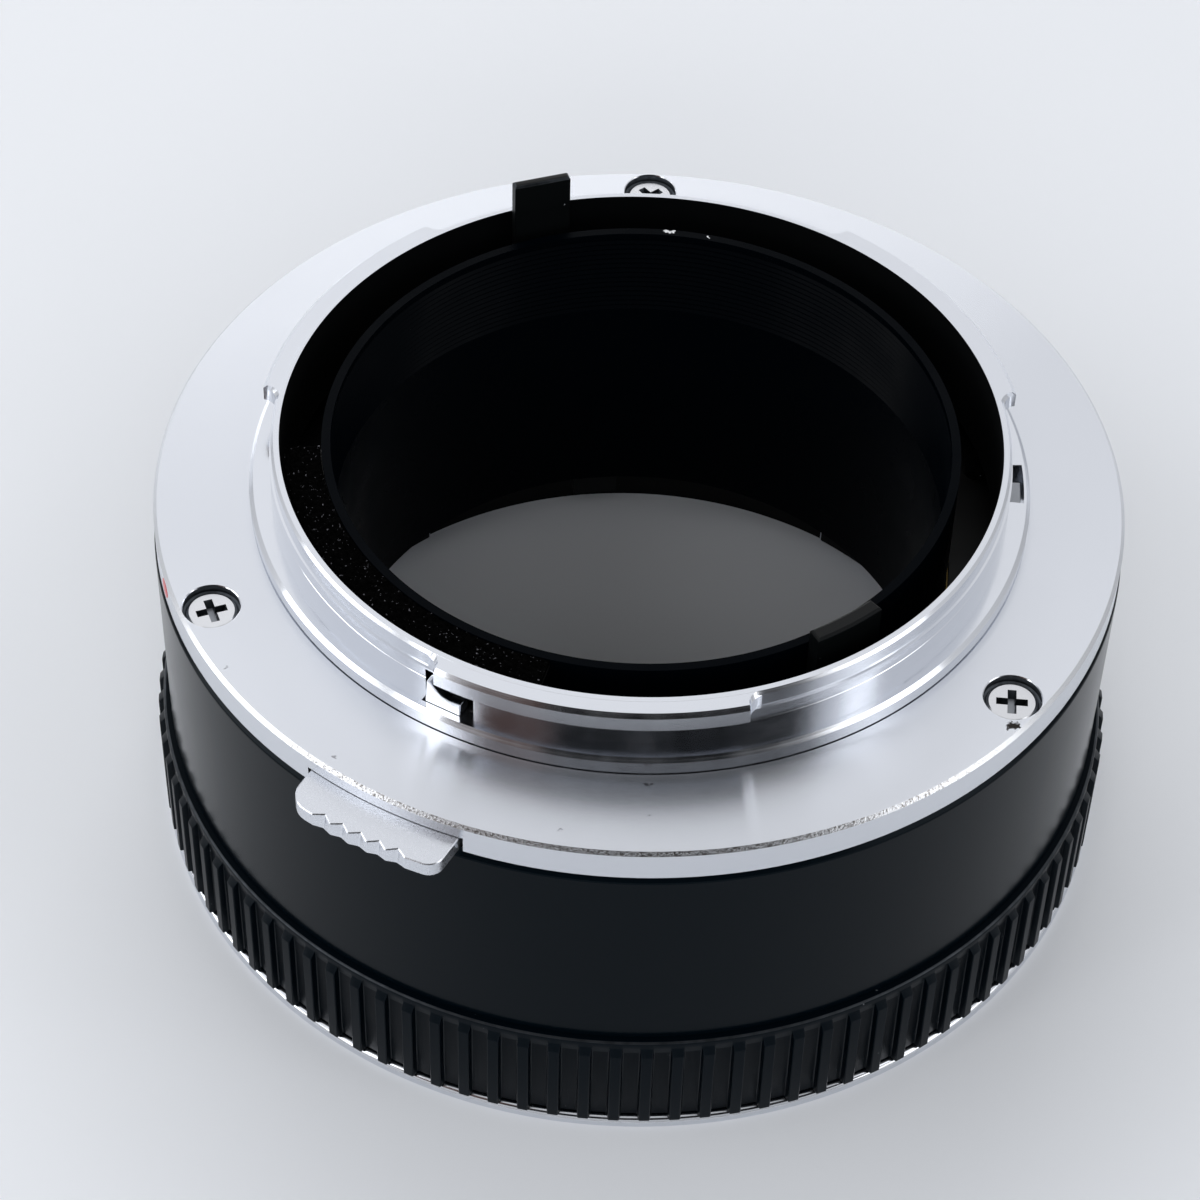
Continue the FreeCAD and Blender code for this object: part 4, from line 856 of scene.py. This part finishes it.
# Studio: a pale laminate table top in a soft bright room that is darker low down and on the camera's side.
# Broad windows stand on all four sides and two narrow strips beside the camera; two lamps fill from above.
bm = bmesh.new()
bmesh.ops.create_grid(bm, x_segments=1, y_segments=1, size=3.0)
bmesh.ops.translate(bm, vec=(0, 0, -0.00002), verts=bm.verts[:])
table_top = to_object("table_top", bm)
table_finish, tree, shader, place = new_finish("pale_table_laminate", "#e6e9ee", 0.0, 0.6)
tone = add(tree, "ShaderNodeTexNoise", {"Vector": place, "Scale": 1 / (60 * MM), "Detail": 2.0})
shade = add(tree, "ShaderNodeMix", {
    "Factor": tone.outputs["Fac"], "A": linear("#e4e7ec"), "B": linear("#e8ebf0")}, data_type="RGBA")
tree.links.new(shade.outputs["Result"], shader.inputs["Base Color"])
table_top.data.materials.append(table_finish)

CAMERA_AT = (0.0, -0.149904, 0.170846)
CAMERA_RIGHT = (0.99909573, 0.03692268, 0.02108173)
CAMERA_UP = (-0.04125411, 0.72188385, 0.69078347)
CAMERA_BACK = (0.01028702, -0.69102853, 0.72275428)
CAMERA_LENS = 101.15

world = bpy.data.worlds.new("soft_room")
bpy.context.scene.world = world
world.use_nodes = True
tree = world.node_tree
tree.nodes.clear()
way = add(tree, "ShaderNodeTexCoord").outputs["Generated"]
parts = add(tree, "ShaderNodeSeparateXYZ", {"Vector": way})
height = parts.outputs["Z"]
overhead = add(tree, "ShaderNodeMapRange", {
    "Value": height, "From Min": 0.80, "From Max": 0.90}, interpolation_type="SMOOTHSTEP")
path = add(tree, "ShaderNodeLightPath")
opened = add(tree, "ShaderNodeMapRange", {
    "Value": path.outputs["Is Glossy Ray"], "To Min": 1.0, "To Max": 0.35})
ceiling = add(tree, "ShaderNodeMath", {
    0: overhead.outputs["Result"], 1: opened.outputs["Result"]}, operation="MULTIPLY")
room = add(tree, "ShaderNodeMix", {
    "Factor": ceiling.outputs["Value"], "A": linear("#fbfcff"), "B": linear("#47443d")}, data_type="RGBA")
low = add(tree, "ShaderNodeMapRange", {
    "Value": path.outputs["Is Glossy Ray"], "To Min": 0.15, "To Max": 0.62})
rise = add(tree, "ShaderNodeMapRange", {
    "Value": height, "From Min": 0.0, "From Max": 0.66, "To Min": low.outputs["Result"], "To Max": 0.98})
front = add(tree, "ShaderNodeMapRange", {
    "Value": parts.outputs["Y"], "From Min": -0.8, "From Max": -0.1, "To Min": 0.70, "To Max": 1.0})
side = add(tree, "ShaderNodeMapRange", {
    "Value": parts.outputs["X"], "From Min": -0.1, "From Max": 0.3, "To Min": 1.05, "To Max": 0.88})
half_level = add(tree, "ShaderNodeMath", {
    0: rise.outputs["Result"], 1: front.outputs["Result"]}, operation="MULTIPLY")
level = add(tree, "ShaderNodeMath", {
    0: half_level.outputs["Value"], 1: side.outputs["Result"]}, operation="MULTIPLY")
flat = add(tree, "ShaderNodeCombineXYZ", {"X": parts.outputs["X"], "Y": parts.outputs["Y"], "Z": 0.0})
around = add(tree, "ShaderNodeVectorMath", {0: flat.outputs["Vector"]}, operation="NORMALIZE")
sky = room
for colour, azimuth, wide, soft in (("#5d4a45", -127.0, 16.0, 5.0), ("#0a0c0f", -72.5, 42.5, 4.0)):
    toward = (math.cos(math.radians(azimuth)), math.sin(math.radians(azimuth)), 0.0)
    facing = add(tree, "ShaderNodeVectorMath", {
        0: around.outputs["Vector"], 1: toward}, operation="DOT_PRODUCT")
    beside = add(tree, "ShaderNodeMapRange", {
        "Value": facing.outputs["Value"], "From Min": math.cos(math.radians(wide + soft)),
        "From Max": math.cos(math.radians(wide - soft))}, interpolation_type="SMOOTHSTEP")
    above = add(tree, "ShaderNodeMapRange", {
        "Value": height, "From Min": 0.52, "From Max": 0.62}, interpolation_type="SMOOTHSTEP")
    below = add(tree, "ShaderNodeMapRange", {
        "Value": height, "From Min": 0.95, "From Max": 0.85}, interpolation_type="SMOOTHSTEP")
    upright = add(tree, "ShaderNodeMath", {
        0: above.outputs["Result"], 1: below.outputs["Result"]}, operation="MULTIPLY")
    card = add(tree, "ShaderNodeMath", {
        0: beside.outputs["Result"], 1: upright.outputs["Value"]}, operation="MULTIPLY")
    shown = add(tree, "ShaderNodeMath", {
        0: card.outputs["Value"], 1: path.outputs["Is Glossy Ray"]}, operation="MULTIPLY")
    sky = add(tree, "ShaderNodeMix", {
        "Factor": shown.outputs["Value"], "A": sky.outputs["Result"], "B": linear(colour)}, data_type="RGBA")
light = add(tree, "ShaderNodeBackground", {
    "Color": sky.outputs["Result"], "Strength": level.outputs["Value"]})
plain = add(tree, "ShaderNodeBackground", {"Color": linear("#e3e6eb"), "Strength": 1.0})
mixed = add(tree, "ShaderNodeMixShader", {
    0: path.outputs["Is Camera Ray"], 1: light.outputs["Background"], 2: plain.outputs["Background"]})
add(tree, "ShaderNodeOutputWorld", {"Surface": mixed.outputs["Shader"]})

for name, azimuth, rise, wide, tall, energy, mirrored in (
        ("back_window", 105.0, 20.0, 1.00, 0.34, 2.0, True),
        ("left_window", 186.0, 20.0, 0.46, 0.26, 0.9, True),
        ("right_window", -22.0, 26.0, 0.46, 0.26, 0.5, True),
        ("back_lamp", 95.0, 52.0, 0.50, 0.30, 0.8, False),
        ("front_window", -90.0, 26.0, 0.70, 0.24, 2.0, False),
        ("front_lamp", -90.0, 46.0, 0.30, 0.25, 0.5, False),
        ("left_strip", -148.0, 40.0, 0.14, 0.50, 0.44, True),
        ("right_strip", -15.0, 44.0, 0.10, 0.45, 0.16, True)):
    lamp = bpy.data.lights.new(name, "AREA")
    lamp.shape = "RECTANGLE"
    lamp.size = wide
    lamp.size_y = tall
    lamp.energy = energy
    stand = bpy.data.objects.new(name, lamp)
    stand.visible_glossy = mirrored
    bpy.context.scene.collection.objects.link(stand)
    away = Vector((math.cos(math.radians(azimuth)), math.sin(math.radians(azimuth)),
                   math.tan(math.radians(rise))))
    stand.location = away.normalized() * 0.8
    stand.rotation_mode = "QUATERNION"
    stand.rotation_quaternion = (-away).to_track_quat("-Z", "Y")

camera = bpy.data.cameras.new("photo_camera")
camera.lens = CAMERA_LENS
camera.sensor_width = 36.0
camera.clip_start = 0.01
camera_object = bpy.data.objects.new("photo_camera", camera)
bpy.context.scene.collection.objects.link(camera_object)
axes = Matrix((CAMERA_RIGHT, CAMERA_UP, CAMERA_BACK)).transposed().to_4x4()
camera_object.matrix_world = Matrix.Translation(CAMERA_AT) @ axes
bpy.context.scene.camera = camera_object
bpy.context.scene.view_settings.view_transform = "Standard"
